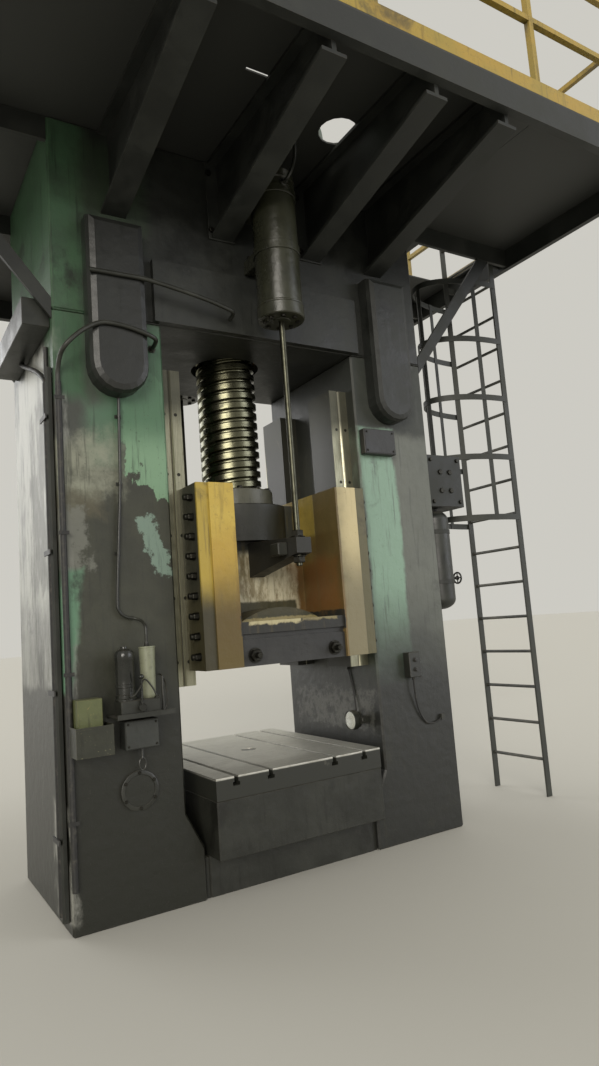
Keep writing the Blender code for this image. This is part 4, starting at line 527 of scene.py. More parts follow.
SLIDE_PATCHES = (
    Patch((-0.60, -0.82, 1.50), (-0.38, -0.20, 2.12), "#a18232", 0.45, 0.30, 0.08),
    # Darker low on the left of the slide: partly painted shade, partly dirt
    Patch((-1.20, -1.40, 0.60), (0.15, 0.40, 1.86), "#463a1e", 0.5, 0.45, 0.08, 0.2, 0.9),
    Patch((0.385, -0.82, 1.30), (0.60, -0.50, 2.52), "#b9ab82", 0.45, 0.03, 0.02, 0.2),
    # Darker low on the right of the slide: partly painted shade, partly dirt
    Patch((-0.10, -1.40, 0.60), (1.10, 0.10, 1.96), "#635e49", 0.5, 0.50, 0.05, 0.2, 0.85),
    Patch((0.385, -0.82, 1.30), (0.405, -0.50, 2.52), "#6d5a34", 0.5, 0.01, 0.006, 0.1),
    Patch((-0.395, -0.785, 1.60), (0.395, 0.785, 2.20), "#5d451d", 0.5, 0.05, 0.04),
    Patch((0.386, -0.775, 1.90), (0.395, 0.30, 2.52), "#3f3c20", 0.5, 0.25, 0.08),
    Patch((-0.42, -0.312, 1.64), (0.33, 0.312, 2.14), "#aaa185", 0.55, 0.04, 0.05, 0.10),
    Patch((-0.20, -0.312, 1.70), (0.26, 0.312, 2.12), "#d2cbb0", 0.55, 0.06, 0.16, 0.04, 0.9, streak=0.3),
    Patch((-0.42, -0.312, 1.78), (0.05, 0.312, 2.10), "#76663f", 0.55, 0.05, 0.15, 0.04, 0.7, streak=0.25),
    Patch((0.16, -0.74, 1.66), (0.42, -0.32, 2.02), "#714a20", 0.45, 0.10, 0.08, 0.2, 0.8),
    # Dark band at the top of the slide's recess, under the nut housing: painted shade
    Patch((-0.385, -0.76, 2.10), (0.350, 0.76, 2.52), "#25261f", 0.5, 0.06, 0.04),
    Patch((-0.395, -0.80, 1.53), (0.395, 0.80, 1.66), "#232320", 0.55, 0.01, 0.02, 0.1),
    Patch((-0.33, -0.80, 1.598), (0.05, -0.50, 1.640), "#b0a782", 0.55, 0.015, 0.030, 0.06, 0.9),
    Patch((0.06, -0.80, 1.606), (0.34, -0.50, 1.640), "#857a56", 0.55, 0.015, 0.030, 0.05, 0.8),
    Patch((-0.31, -0.62, 1.621), (0.31, 0.62, 1.76), "#36341f", 0.5, 0.02, 0.02, 0.08, 0.95),
    Patch((-0.31, -0.62, 1.621), (0.31, 0.62, 1.640), "#8d8157", 0.5, 0.01, 0.02, 0.04, 0.8),
)
GIB_PATCHES = (
    Patch((0.5, -0.82, 1.2), (0.75, -0.4, 2.6), "#565239", 0.5, 0.05, 0.04),
    Patch((-0.66, -0.785, 1.2), (-0.5, -0.762, 2.6), "#a08a38", 0.45, 0.01, 0.01),
    Patch((-0.66, -0.762, 1.2), (-0.5, -0.4, 2.6), "#282820", 0.5, 0.02, 0.01),
    Patch((-1.10, -1.10, 0.9), (-0.2, -0.1, 1.80), "#34301d", 0.5, 0.25, 0.06),
)
RAIL_PATCHES = (
    # Dark over every face but the front and rear: partly painted shade and a painted reflection of the dark
    # interior, partly oil
    Patch((-0.80, -0.512, 1.2), (0.80, 0.512, 3.4), "#292922", 0.5, 0.006, 0.002),
    Patch((-0.682, -0.60, 1.2), (-0.676, 0.60, 3.4), "#d0cdb4", 0.3, 0.002, 0.001, metal=1.0),
    Patch((0.676, -0.60, 1.2), (0.682, 0.60, 3.4), "#d0cdb4", 0.3, 0.002, 0.001, metal=1.0),
    Patch((-0.80, -0.60, 3.00), (0.80, 0.60, 3.40), "#38382f", 0.5, 0.30, 0.05, metal=0.4),
)
BOLSTER_PATCHES = (
    # Brighter patch on the planed top: painted light, the light that falls on the top
    Patch((-0.50, -0.50, 0.700), (0.30, 0.60, 0.720), "#deddd4", 0.55, 0.10, 0.16, 0.2, 0.7, 0.35),
    Patch((-0.62, -0.82, 0.5), (0.62, 0.82, 0.700), "#24251f", 0.5, 0.01, 0.004),
)
GRIME = "#2d2d24"
# Lays of tool marks: the scales of a noise that draw it out along x, along z or round z, or leave it even
ALONG_X, ALONG_Z, ROUND_Z, EVEN = (1.2, 40.0, 1.2), (30.0, 30.0, 0.8), (1.0, 1.0, 30.0), (1.0, 1.0, 1.0)

UPRIGHT_LEFT = Enamel("green_enamel_left_upright", "#2c2d23", "#36372c", "#20211a", dirt=0.18,
                      patches=LEFT_UPRIGHT_PATCHES)
UPRIGHT_RIGHT = Enamel("green_enamel_right_upright", "#454741", "#51534b", GRIME, dirt=0.22,
                       patches=RIGHT_UPRIGHT_PATCHES)
CROWN_ENAMEL = Enamel("green_enamel_crown", "#1f211e", "#282a26", "#171815", dirt=0.4, patches=CROWN_PATCHES)
BED_ENAMEL = Enamel("green_enamel_bed", "#20211c", "#292a24", "#181814", 0.42, 0.35)
YELLOW = Enamel("yellow_enamel_slide", "#b0963f", "#bba34c", "#5b4f28", 0.42, 0.02, 0.45, 0.003, 0.2, 0.35,
                patches=SLIDE_PATCHES)
GIB_YELLOW = Enamel("yellow_enamel_gibs", "#8c7331", "#967f3f", "#3c3722", 0.45, 0.30, 0.5, 0.003,
                    patches=GIB_PATCHES)
HOLDER_PAINT = Enamel("grey_enamel_die_holder", "#252524", "#313130", "#191918", dirt=0.3, edge=0.003)
NUT_PAINT = Enamel("khaki_enamel_nut", "#4b4b3f", "#57564a", "#2c2b22", 0.4, 0.3, edge=0.003)
HOUSING_PAINT = Enamel("dark_enamel_housing", "#21221d", "#2b2c26", "#171713", 0.45, 0.35, edge=0.003)
OLIVE_PAINT = Enamel("olive_enamel_cylinder", "#23241b", "#2f3023", "#181812", 0.26, 0.25, edge=0.004)
GREY_PAINT = Enamel("grey_hammer_paint", "#2c2e2b", "#383a36", "#1f1f1a", 0.42, 0.25, edge=0.002)
TRAY_PAINT = Enamel("olive_tray_paint", "#282920", "#343529", "#1b1b14", 0.42, 0.25, 0.9, 0.002, bare="#77755c")
FLYWHEEL_PAINT = Enamel("grey_enamel_flywheel", "#4b4d4b", "#575957", GRIME, dirt=0.35, edge=0.004)
CREAM_PAINT = Enamel("olive_cream_enamel", "#565b3b", "#4d5235", "#2f2f20", 0.4, 0.20, 0.5, 0.002,
                     bare="#a48f63")
GUARD_PAINT = Enamel("green_enamel_guard", "#4c5f50", "#586a5b", GRIME, dirt=0.3, edge=0.003)
RAILING_PAINT = Enamel("yellow_enamel_railing", "#a08434", "#948038", "#4b4228", 0.45, 0.35, edge=0.003)
PLATFORM_PAINT = OilyPaint("platform_paint", "#282a25", "#353731")
BEAM_PAINT = OilyPaint("beam_paint", "#1d1f1c", "#282a26")
TANK_PAINT = OilyPaint("tank_paint", "#1e201d", "#2a2c27", 0.36)
DUCT_PAINT = OilyPaint("duct_paint", "#1d1f1b", "#292b26", 0.38)
RUNG_STEEL = OilyPaint("rubbed_rung_paint", "#2e2f2a", "#55544c", 0.4, 0.2)
TUBE_STEEL = OilyPaint("painted_steel_tube", "#1c1d18", "#2a2b24", 0.32, 0.2)
ARM_PAINT = OilyPaint("lift_arm_paint", "#1c1c19", "#262622", 0.45)
DARK_FITTING = OilyPaint("dark_fitting_paint", "#21221d", "#2e2f29", 0.36, edge=0.002)
PUMP_PAINT = OilyPaint("glossy_pump_paint", "#1b1c19", "#232420", 0.14, 0.15, edge=0.002)
RAIL_STEEL = BareSteel("ground_guide_rail", "#9d9b86", "#5f5b47", 0.36, ALONG_Z, 8.0, 0.22,
                       patches=RAIL_PATCHES)
# The bolster's pale ground colour is painted light on its planed top; the dark patch below the top keeps the
# sides dark
BOLSTER_STEEL = BareSteel("planed_bolster_painted_lit_top", "#d6d5cc", "#8e8b7e", 0.5, ALONG_X, 10.0, 0.12,
                          patches=BOLSTER_PATCHES)
SCREW_STEEL = BareSteel("oiled_screw_steel", "#6a6956", "#34332a", 0.22, (1.0, 1.0, 35.0), 14.0, 0.35, 0.1)
ROD_STEEL = BareSteel("chromed_rod", "#4a4a3f", "#34332b", 0.30, EVEN, 20.0, 0.22, 0.1)
TIE_STEEL = BareSteel("turned_tie_rod", "#8b8a82", "#3d3a31", 0.35, ROUND_Z, 12.0, 0.5)
BOLT_STEEL = BareSteel("black_oxide_bolts", "#3a3934", "#1f1e1b", 0.42, EVEN, 60.0, 0.4, 0.2)
BRONZE_BUSH = Casting("turned_bronze_bush", "#9a7a45", "#4f4024")
BOTTLE_PLASTIC = Moulded("milky_polythene_beaker", "#7b7e69", 0.35, 0.5)
CABLE_SHEATH = Moulded("rubber_cable_sheath", "#1c1c1b")
HOSE_COVER = Moulded("black_moulded_cap", "#22211e", 0.45)
LAMP_PRESSED_GLASS = LampGlass("pressed_lamp_glass")
DECK_PLATE = TreadPlate("chequer_plate_deck")

NODE_FINISHES: dict[str, Finish] = {name: finish for finish, names in (
    (UPRIGHT_LEFT, "left_upright"), (UPRIGHT_RIGHT, "right_upright"), (CROWN_ENAMEL, "crown"),
    (BED_ENAMEL, "bed"), (BOLSTER_STEEL, "bolster"), (YELLOW, "slide_body"),
    (HOLDER_PAINT, "die_holder junction_box"), (NUT_PAINT, "drive_nut"), (BRONZE_BUSH, "spindle_bush"),
    (SCREW_STEEL, "spindle"), (FLYWHEEL_PAINT, "flywheel"), (GUARD_PAINT, "flywheel_guard"),
    (BEAM_PAINT, "platform_frame manifold"), (RAILING_PAINT, "railing"),
    (DECK_PLATE, "platform_deck deck_right"), (PLATFORM_PAINT, "ladder ladder_cage"),
    (ARM_PAINT, "lift_arm_front lift_arm_rear"), (OLIVE_PAINT, "lift_cylinder_front lift_cylinder_rear"),
    (ROD_STEEL, "ejector_pin lift_rod_front lift_rod_rear"), (CREAM_PAINT, "oil_cup tray_box"),
    (GREY_PAINT, "lubricator_box"), (TUBE_STEEL, "oil_line"), (DUCT_PAINT, "corner_conduit side_duct"),
    (TRAY_PAINT, "tray"), (TANK_PAINT, "accumulator"), (LAMP_PRESSED_GLASS, "lamp_lens"),
    (DARK_FITTING, "limit_switch lubricator_shelf lubricator_valve grease_pump lubricator_lever boss_pipe"
                   " crown_pipe switch_box valve_handwheel lamp_bracket lamp_head"),
    (GIB_YELLOW, " ".join(f"gib_{end}_{side}" for end, *_ in ENDS for side, *_ in SIDES)),
    (RAIL_STEEL, " ".join(f"guide_rail_{end}_{side}" for end, *_ in ENDS for side, *_ in SIDES)),
    (TIE_STEEL, " ".join(f"tie_rod_{end}_{side}" for end, *_ in ENDS for side, *_ in SIDES)),
) for name in names.split()}


@cache
def material_of(finish: Finish) -> bpy.types.Material:
    """Builds a finish's material when it is first asked for, and keeps it."""
    return finish.build()


# Shapes

@dataclass
class Shape:
    """Points and four-cornered faces of a surface that was worked out as whole arrays."""

    points: np.ndarray
    quads: np.ndarray

    def __add__(self, other: "Shape") -> "Shape":
        """Two shapes in one."""
        return Shape(np.vstack([self.points, other.points]),
                     np.vstack([self.quads, other.quads + len(self.points)]))

    def at(self, places: Sequence[Point] | np.ndarray, axis: Axis = Axis.Z) -> "Shape":
        """Copies the shape to many places, turned so that its +Z points along the axis."""
        turn = np.array(Vector((0, 0, 1)).rotation_difference(Vector(axis.value)).to_matrix())
        spots = np.asarray(places, float).reshape(-1, 3)
        points = (self.points @ turn.T)[None, :, :] + spots[:, None, :]
        quads = self.quads[None, :, :] + (np.arange(len(spots)) * len(self.points))[:, None, None]
        return Shape(points.reshape(-1, 3), quads.reshape(-1, 4))


def joined(shapes: Iterable[Shape]) -> Shape:
    """Several shapes in one."""
    return reduce(add, shapes)


def grid(points: np.ndarray, wrap_rows: bool = False, wrap_columns: bool = False) -> Shape:
    """Joins a grid of points with four-cornered faces.

    Args:
        points: array of rows by columns by 3.
        wrap_rows: whether the last row joins the first.
        wrap_columns: whether the last column joins the first.

    Returns:
        The surface.
    """
    rows, columns = points.shape[:2]
    row, column = np.meshgrid(np.arange(rows if wrap_rows else rows - 1),
                              np.arange(columns if wrap_columns else columns - 1), indexing="ij")
    below, beside = (row + 1) % rows, (column + 1) % columns
    quads = np.stack([row * columns + column, row * columns + beside, below * columns + beside,
                      below * columns + column], axis=-1)
    return Shape(points.reshape(-1, 3), quads.reshape(-1, 4))


def lathe(profile: Profile, centre: Point = ORIGIN, steps: int = 64, axis: Axis = Axis.Z,
          closed: bool = False) -> Shape:
    """Turned surface: each profile point's radius swings round the axis at its height.

    Args:
        profile: radius and height of each point, bottom first.
        centre: foot of the axis.
        steps: number of sides.
        axis: direction of the axis.
        closed: whether the profile joins its own start, as on a ring.

    Returns:
        The surface.
    """
    radius, height = np.array(profile, float).T
    turn = np.linspace(0, FULL_TURN, steps, endpoint=False)
    points = np.stack([radius[:, None] * np.cos(turn), radius[:, None] * np.sin(turn),
                       np.repeat(height[:, None], steps, axis=1)], axis=-1)
    return grid(points, closed, True).at([centre], axis)


def turned(profile: Profile, centre: Point = ORIGIN, steps: int = 64, axis: Axis = Axis.Z) -> Shape:
    """Turned solid: a lathe surface whose profile also runs in to the axis at its foot and at its top."""
    return lathe([(0, profile[0][1]), *profile, (0, profile[-1][1])], centre, steps, axis)


def ring(inner: float, outer: float, low: float, high: float, centre: Point = ORIGIN, steps: int = 64) -> Shape:
    """Square-edged ring from an inner to an outer radius and from a low to a high end."""
    return lathe([(inner, low), (outer, low), (outer, high), (inner, high)], centre, steps, closed=True)


def sweep(path: np.ndarray, section: np.ndarray, up: Point = UPWARD) -> Shape:
    """Carries a cross-section along a path: at each point it stands square to the path's direction, closed at
    the ends.

    Args:
        path: points of the centre line.
        section: corners of the cross-section, across and up, alike at all points or one set per point.
        up: a direction that the path never follows.

    Returns:
        The surface.
    """
    path = np.asarray(path, float)
    along = np.gradient(path, axis=0)
    along /= np.linalg.norm(along, axis=1, keepdims=True)
    across = np.cross(along, np.array(up, float))
    across /= np.linalg.norm(across, axis=1, keepdims=True)
    third = np.cross(across, along)
    points = path[:, None, :] + across[:, None, :] * section[..., :1] + third[:, None, :] * section[..., 1:]
    caps = [np.repeat(path[i][None, None, :], points.shape[1], axis=1) for i in (0, -1)]
    return grid(np.concatenate([caps[0], points, caps[1]], axis=0), False, True)


def flat_bar(path: np.ndarray, thick: float, wide: float, up: Point = UPWARD) -> Shape:
    """Flat bar along a path, its thickness across and its width along the up direction."""
    corners = np.array([(-1, -1), (1, -1), (1, 1), (-1, 1)])
    return sweep(path, corners * np.array([thick / 2, wide / 2]), up)


def tube(path: np.ndarray, radius: float | np.ndarray, sides: int = 10, up: Point = UPWARD) -> Shape:
    """Round bar along a path, of one radius or of one per point, with so many sides."""
    turn = -np.linspace(0, FULL_TURN, sides, endpoint=False)
    circle = np.stack([np.cos(turn), np.sin(turn)], axis=-1)
    radii = np.broadcast_to(np.asarray(radius, float), (len(path),))
    return sweep(path, circle[None] * radii[:, None, None], up)


def smooth(points: Sequence[Point], count: int) -> np.ndarray:
    """Catmull-Rom curve through the points: in each span, the cubic that passes its two ends with slopes
    taken from the points on each side."""
    knots = np.asarray(points, float)
    ends = np.vstack([2 * knots[0] - knots[1], knots, 2 * knots[-1] - knots[-2]])
    place = np.linspace(0, len(knots) - 1 - 1e-9, count)
    span = place.astype(int)
    t = (place - span)[:, None]
    a, b, c, d = (ends[span + i] for i in range(4))
    return 0.5 * (2 * b + (c - a) * t + (2 * a - 5 * b + 4 * c - d) * t ** 2 + (3 * b - a - 3 * c + d) * t ** 3)


def block(low: Point, high: Point) -> Shape:
    """Box between two corners."""
    lo, hi = np.array(low, float), np.array(high, float)
    corners = np.array([[x, y, z] for x in (0, 1) for y in (0, 1) for z in (0, 1)])
    quads = np.array([[0, 1, 3, 2], [4, 6, 7, 5], [0, 4, 5, 1], [2, 3, 7, 6], [0, 2, 6, 4], [1, 5, 7, 3]])
    return Shape(lo + corners * (hi - lo), quads)


def hex_bolt(size: float) -> Shape:
    """Hexagon head of a bolt on its washer, foot at the origin, pointing along +Z. The head is a six-sided
    turned shape whose rim is broken, and its height is 0.65 of the thread's diameter."""
    corner, tall, thin = size * 0.935, size * 0.65, size * 0.16
    disc = turned([(corner * 1.22, 0), (corner * 1.22, thin)], steps=20)
    head = turned([(corner, thin), (corner, thin + tall * 0.82), (corner * 0.84, thin + tall)], steps=6)
    return disc + head


def stud_and_nut(washer: tuple[float, float], nut: Profile, stud: Profile, steps: int) -> Shape:
    """Washer, hexagon nut and round stud on one axis along +Z.

    Args:
        washer: radius and thickness of the washer.
        nut: radius and height of the nut's upper corners.
        stud: radius and height of the stud's upper corners. Its foot is inside the nut.
        steps: number of the washer's sides.

    Returns:
        The surface.
    """
    (radius, thin), foot = washer, 0.03
    return (turned([(radius, 0), (radius, thin)], steps=steps) + turned([(nut[0][0], thin), *nut], steps=6)
            + turned([(stud[0][0], foot), *stud], steps=20))


def ring_of(count: int, radius: float, centre: Point, shift: float = 0.0, axis: Axis = Axis.Z) -> np.ndarray:
    """Evenly spaced places on a circle square to an axis.

    Args:
        count: number of places.
        radius: radius of the circle.
        centre: its middle.
        shift: turn of the first place, in steps.
        axis: axis of the circle.

    Returns:
        One row per place.
    """
    turn = (np.arange(count) + shift) * FULL_TURN / count
    flat = np.stack([radius * np.cos(turn), radius * np.sin(turn), 0 * turn], axis=-1)
    return Shape(flat, np.zeros((0, 4), int)).at([centre], axis).points


def rows_of(*axes: Sequence[float]) -> np.ndarray:
    """Every combination of the given x, y and z values, one per row."""
    return np.stack(np.meshgrid(*axes, indexing="ij"), axis=-1).reshape(-1, 3)


# Pieces

def make_piece(name: str, shape: Shape, finish: Finish, body: Body = Body.FRAME,
               replaces: Iterable[str] = (), bevel: float = 0.0, flat: bool = False) -> bpy.types.Object:
    """Puts a shape into the scene as a finished piece that rides on a body.

    Args:
        name: name of the piece.
        shape: its points and faces.
        finish: what its surface is.
        body: CAD body that it moves with.
        replaces: CAD nodes that it stands for.
        bevel: width of the rounded edges.
        flat: whether its faces stay flat.

    Returns:
        The new object.
    """
    mesh = bpy.data.meshes.new(name)
    mesh.from_pydata(shape.points.tolist(), [], shape.quads.tolist())
    bm = bmesh.new()
    bm.from_mesh(mesh)
    bmesh.ops.remove_doubles(bm, verts=bm.verts, dist=WELD_GAP)
    bmesh.ops.recalc_face_normals(bm, faces=bm.faces)
    bm.to_mesh(mesh)
    bm.free()
    mesh.polygons.foreach_set("use_smooth", np.full(len(mesh.polygons), not flat))
    mesh.set_sharp_from_angle(angle=SHARP_ANGLE)
    mesh.materials.append(material_of(finish))
    piece = bpy.data.objects.new(name, mesh)
    bpy.context.scene.collection.objects.link(piece)
    if bevel:
        rounding = piece.modifiers.new("rounded edges", "BEVEL")
        rounding.width, rounding.segments, rounding.limit_method = bevel, 2, "ANGLE"
        rounding.harden_normals = False
    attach(piece, body.value)
    if replaces:
        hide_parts(*replaces)
    LOG.info("%s: %d faces", name, len(mesh.polygons))
    return piece


def make_skin(node: str, name: str, shape: Shape, finish: Finish, body: Body = Body.FRAME) -> None:
    """Makes the piece that stands for a whole CAD node, and hides the node."""
    make_piece(name, shape, finish, body, [node])


def fasten(name: str, bolt: Shape, spots: Sequence[Point] | np.ndarray, axis: Axis = Axis.Z,
           body: Body = Body.FRAME) -> None:
    """Makes a set of bolts as one piece, a bolt at each spot, all pointing along the axis."""
    make_piece(name, bolt.at(spots, axis), BOLT_STEEL, body, flat=True)


def dress_nodes() -> None:
    """Gives every CAD node its finish."""
    for name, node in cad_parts.items():
        node.material_slots[0].material = material_of(NODE_FINISHES[name])
        LOG.info("%s: %s", name, NODE_FINISHES[name].name)


# Screw, nut and flywheel

@dataclass
class ScrewDrive:
    """Multi-start screw with its shank, the flanged nut, the flywheel and its guard."""

    crest: float = 0.222
    root: float = 0.199
    starts: int = 2
    pitch: float = 0.075
    bottom: float = 2.10
    top: float = 3.62
    shank: float = 0.19
    collar: float = 0.29
    collar_low: float = 4.8506
    seat: float = 4.9106
    journal: float = 0.15
    hub: float = 0.24
    hub_height: float = 0.36
    rim: float = 0.84
    rim_width: float = 0.16
    rim_height: float = 0.28
    web: float = 0.07
    flange_low: float = 2.4503
    flange_top: float = 2.5803
    flange: float = 0.30
    bolt_circle: float = 0.272
    bolts: int = 12
    housing: float = 0.4012
    guard_inner: float = 0.90
    guard_foot: float = 4.8226
    guard_top: float = 5.3726
    sheet: float = 0.006
    eye: float = 0.22
    steps: int = 72

    def thread(self) -> Shape:
        """Thread surface. Along the axis the radius goes root, flank, wide crest, flank once a pitch, and this
        profile climbs one lead a turn. Past the ends the height stops and the radius shrinks to nothing."""
        lead = self.starts * self.pitch
        offset = np.array([0.0, 0.10, 0.125, 0.215, 0.245, 0.755, 0.785, 0.875, 0.90]) * self.pitch
        depth = np.array([0.0, 0.0, 0.05, 0.93, 1.0, 1.0, 0.93, 0.05, 0.0])
        offsets = np.concatenate([offset + s * self.pitch for s in range(self.starts)] + [[lead]])
        depths = np.concatenate([depth] * self.starts + [[0.0]])
        turns = int(math.ceil((self.top - self.bottom) / lead)) + 1
        turn = np.arange(turns * self.steps + 1) * FULL_TURN / self.steps
        height = self.bottom - lead + lead * turn[:, None] / FULL_TURN + offsets[None, :]
        radius = self.root + (self.crest - self.root) * depths[None, :] + 0 * height
        outside = (height < self.bottom) | (height > self.top)
        radius = np.where(outside, 0.0, radius)
        height = np.clip(height, self.bottom, self.top)
        angle = turn[:, None] + 0 * height
        return grid(np.stack([radius * np.cos(angle), radius * np.sin(angle), height], axis=-1))

    def shank_shape(self) -> Shape:
        """Turned shank, thrust collar and flywheel seat."""
        low, seat, collar = self.collar_low, self.seat, self.collar
        return turned([(self.shank, self.top - 0.004), (self.shank, low), (collar - 0.006, low),
                       (collar, low + 0.006), (collar, seat - 0.006), (collar - 0.006, seat),
                       (self.journal, seat), (self.journal, seat + self.hub_height - 0.005)], steps=96)

    def nut_shape(self) -> Shape:
        """Flange of the nut with a broken rim, round the screw's own bore."""
        low, top, inner = self.flange_low, self.flange_top, self.crest + 0.004
        return lathe([(inner, low), (self.flange, low), (self.flange, top - 0.006), (self.flange - 0.006, top),
                      (inner + 0.008, top), (inner, top - 0.008)], steps=96, closed=True)

    def flywheel_shape(self) -> Shape:
        """Flywheel: hub, dished web with its fillets, and rim."""
        hub, rim, bore, low = self.hub, self.rim, self.journal + 0.0003, self.seat + 0.0003
        top, middle = low + self.hub_height, low + self.hub_height / 2
        half, web, inner = self.rim_height / 2, self.web / 2, rim - self.rim_width
        side = [(hub, web + 0.02), (hub + 0.02, web), (inner - 0.03, web), (inner, web + 0.03),
                (inner + 0.004, half), (rim - 0.008, half), (rim, half - 0.008)]
        return lathe([(bore, low), (hub - 0.008, low), (hub, low + 0.008), *[(r, middle - h) for r, h in side],
                      *[(r, middle + h) for r, h in reversed(side)], (hub, top - 0.008), (hub - 0.008, top),
                      (0.19, top), (0.19, top + 0.034), (0.184, top + 0.04), (0.0, top + 0.04),
                      (0.0, low + 0.35), (bore, low + 0.35)], steps=112)

    def guard_shape(self) -> Shape:
        """Sheet guard with its foot flange, a rolled bead at half height and the eye in its lid."""
        inner, wall, foot, top = self.guard_inner, self.sheet, self.guard_foot, self.guard_top
        outer, middle = inner + wall, (foot + top) / 2
        turn = np.linspace(-QUARTER_TURN, QUARTER_TURN, 7)
        bead = [(outer + 0.007 * math.cos(t), middle + 0.010 * math.sin(t)) for t in turn]
        return lathe([(inner, foot), (outer + 0.05, foot), (outer + 0.05, foot + wall), (outer, foot + wall),
                      *bead, (outer, top - 0.012), (outer - 0.004, top - 0.003), (outer - 0.012, top),
                      (self.eye + 0.02, top), (self.eye, top - 0.002), (self.eye, top - wall),
                      (inner, top - wall)], steps=128, closed=True)

    def build(self) -> None:
        """Makes the pieces."""
        make_skin("spindle", "screw", self.thread() + self.shank_shape(), SCREW_STEEL, Body.SPINDLE)
        make_skin("drive_nut", "nut_flange", self.nut_shape(), NUT_PAINT, Body.SLIDE)
        spots = ring_of(self.bolts, self.bolt_circle, (0, 0, self.flange_top), 0.5)
        fasten("nut_flange_bolts", hex_bolt(0.024), spots, body=Body.SLIDE)
        sleeve = lathe([(self.housing, 2.186), (self.housing, 2.444), (self.housing - 0.004, 2.4502),
                        (self.flange + 0.002, 2.4502)], steps=128)
        make_piece("nut_housing_skin", sleeve, HOUSING_PAINT, Body.SLIDE)
        make_skin("flywheel", "flywheel_turned", self.flywheel_shape(), FLYWHEEL_PAINT, Body.SPINDLE)
        make_skin("flywheel_guard", "flywheel_guard_sheet", self.guard_shape(), GUARD_PAINT)
        feet = ring_of(16, self.guard_inner + 0.032, (0, 0, self.guard_foot + self.sheet))
        lid = ring_of(20, self.guard_inner - 0.03, (0, 0, self.guard_top))
        fasten("guard_bolts", hex_bolt(0.014), np.vstack([feet, lid]))


# Slide, gibs, rails and die holder

@dataclass
class SlideGroup:
    """Fittings of the slide and its rails: the gibs' adjusting bolts, the die clamps and the rail screws."""

    bottom: float = 1.345
    top: float = 2.50
    gib_outer: float = 0.64
    gib_bolt_y: float = 0.70
    gib_bolts: int = 9
    bolt_margin: float = 0.085
    rail_front: float = 0.52
    clamp_x: float = 0.30
    clamp_z: float = 1.41
    holder_front: float = 0.77

    def build(self) -> None:
        """Makes the pieces."""
        adjuster = stud_and_nut((0.0265, 0.004), [(0.0235, 0.030), (0.0205, 0.034)],
                                [(0.0196, 0.052), (0.017, 0.0555)], 20)
        clamp = stud_and_nut((0.048, 0.007), [(0.0405, 0.028), (0.036, 0.0335)],
                             [(0.0185, 0.068), (0.016, 0.0715)], 28)
        plug = turned([(0.0115, 0.0001), (0.0115, 0.0004)], steps=18)
        heights = np.linspace(self.bottom + self.bolt_margin, self.top - self.bolt_margin, self.gib_bolts)
        for name, side, axis in SIDES:
            spots = rows_of([side * self.gib_outer], [-self.gib_bolt_y, self.gib_bolt_y], heights)
            fasten(f"gib_adjusters_{name}", adjuster, spots, axis, Body.SLIDE)
        for name, side, axis in ENDS:
            spots = rows_of([-self.clamp_x, self.clamp_x], [side * self.holder_front], [self.clamp_z])
            fasten(f"die_clamps_{name}", clamp, spots, axis, Body.SLIDE)
            spots = rows_of([-0.72, -0.64, 0.64, 0.72], [side * self.rail_front], np.linspace(1.40, 3.00, 5))
            make_piece(f"rail_screws_{name}", plug.at(spots, axis), BOLT_STEEL)


# Lift cylinders

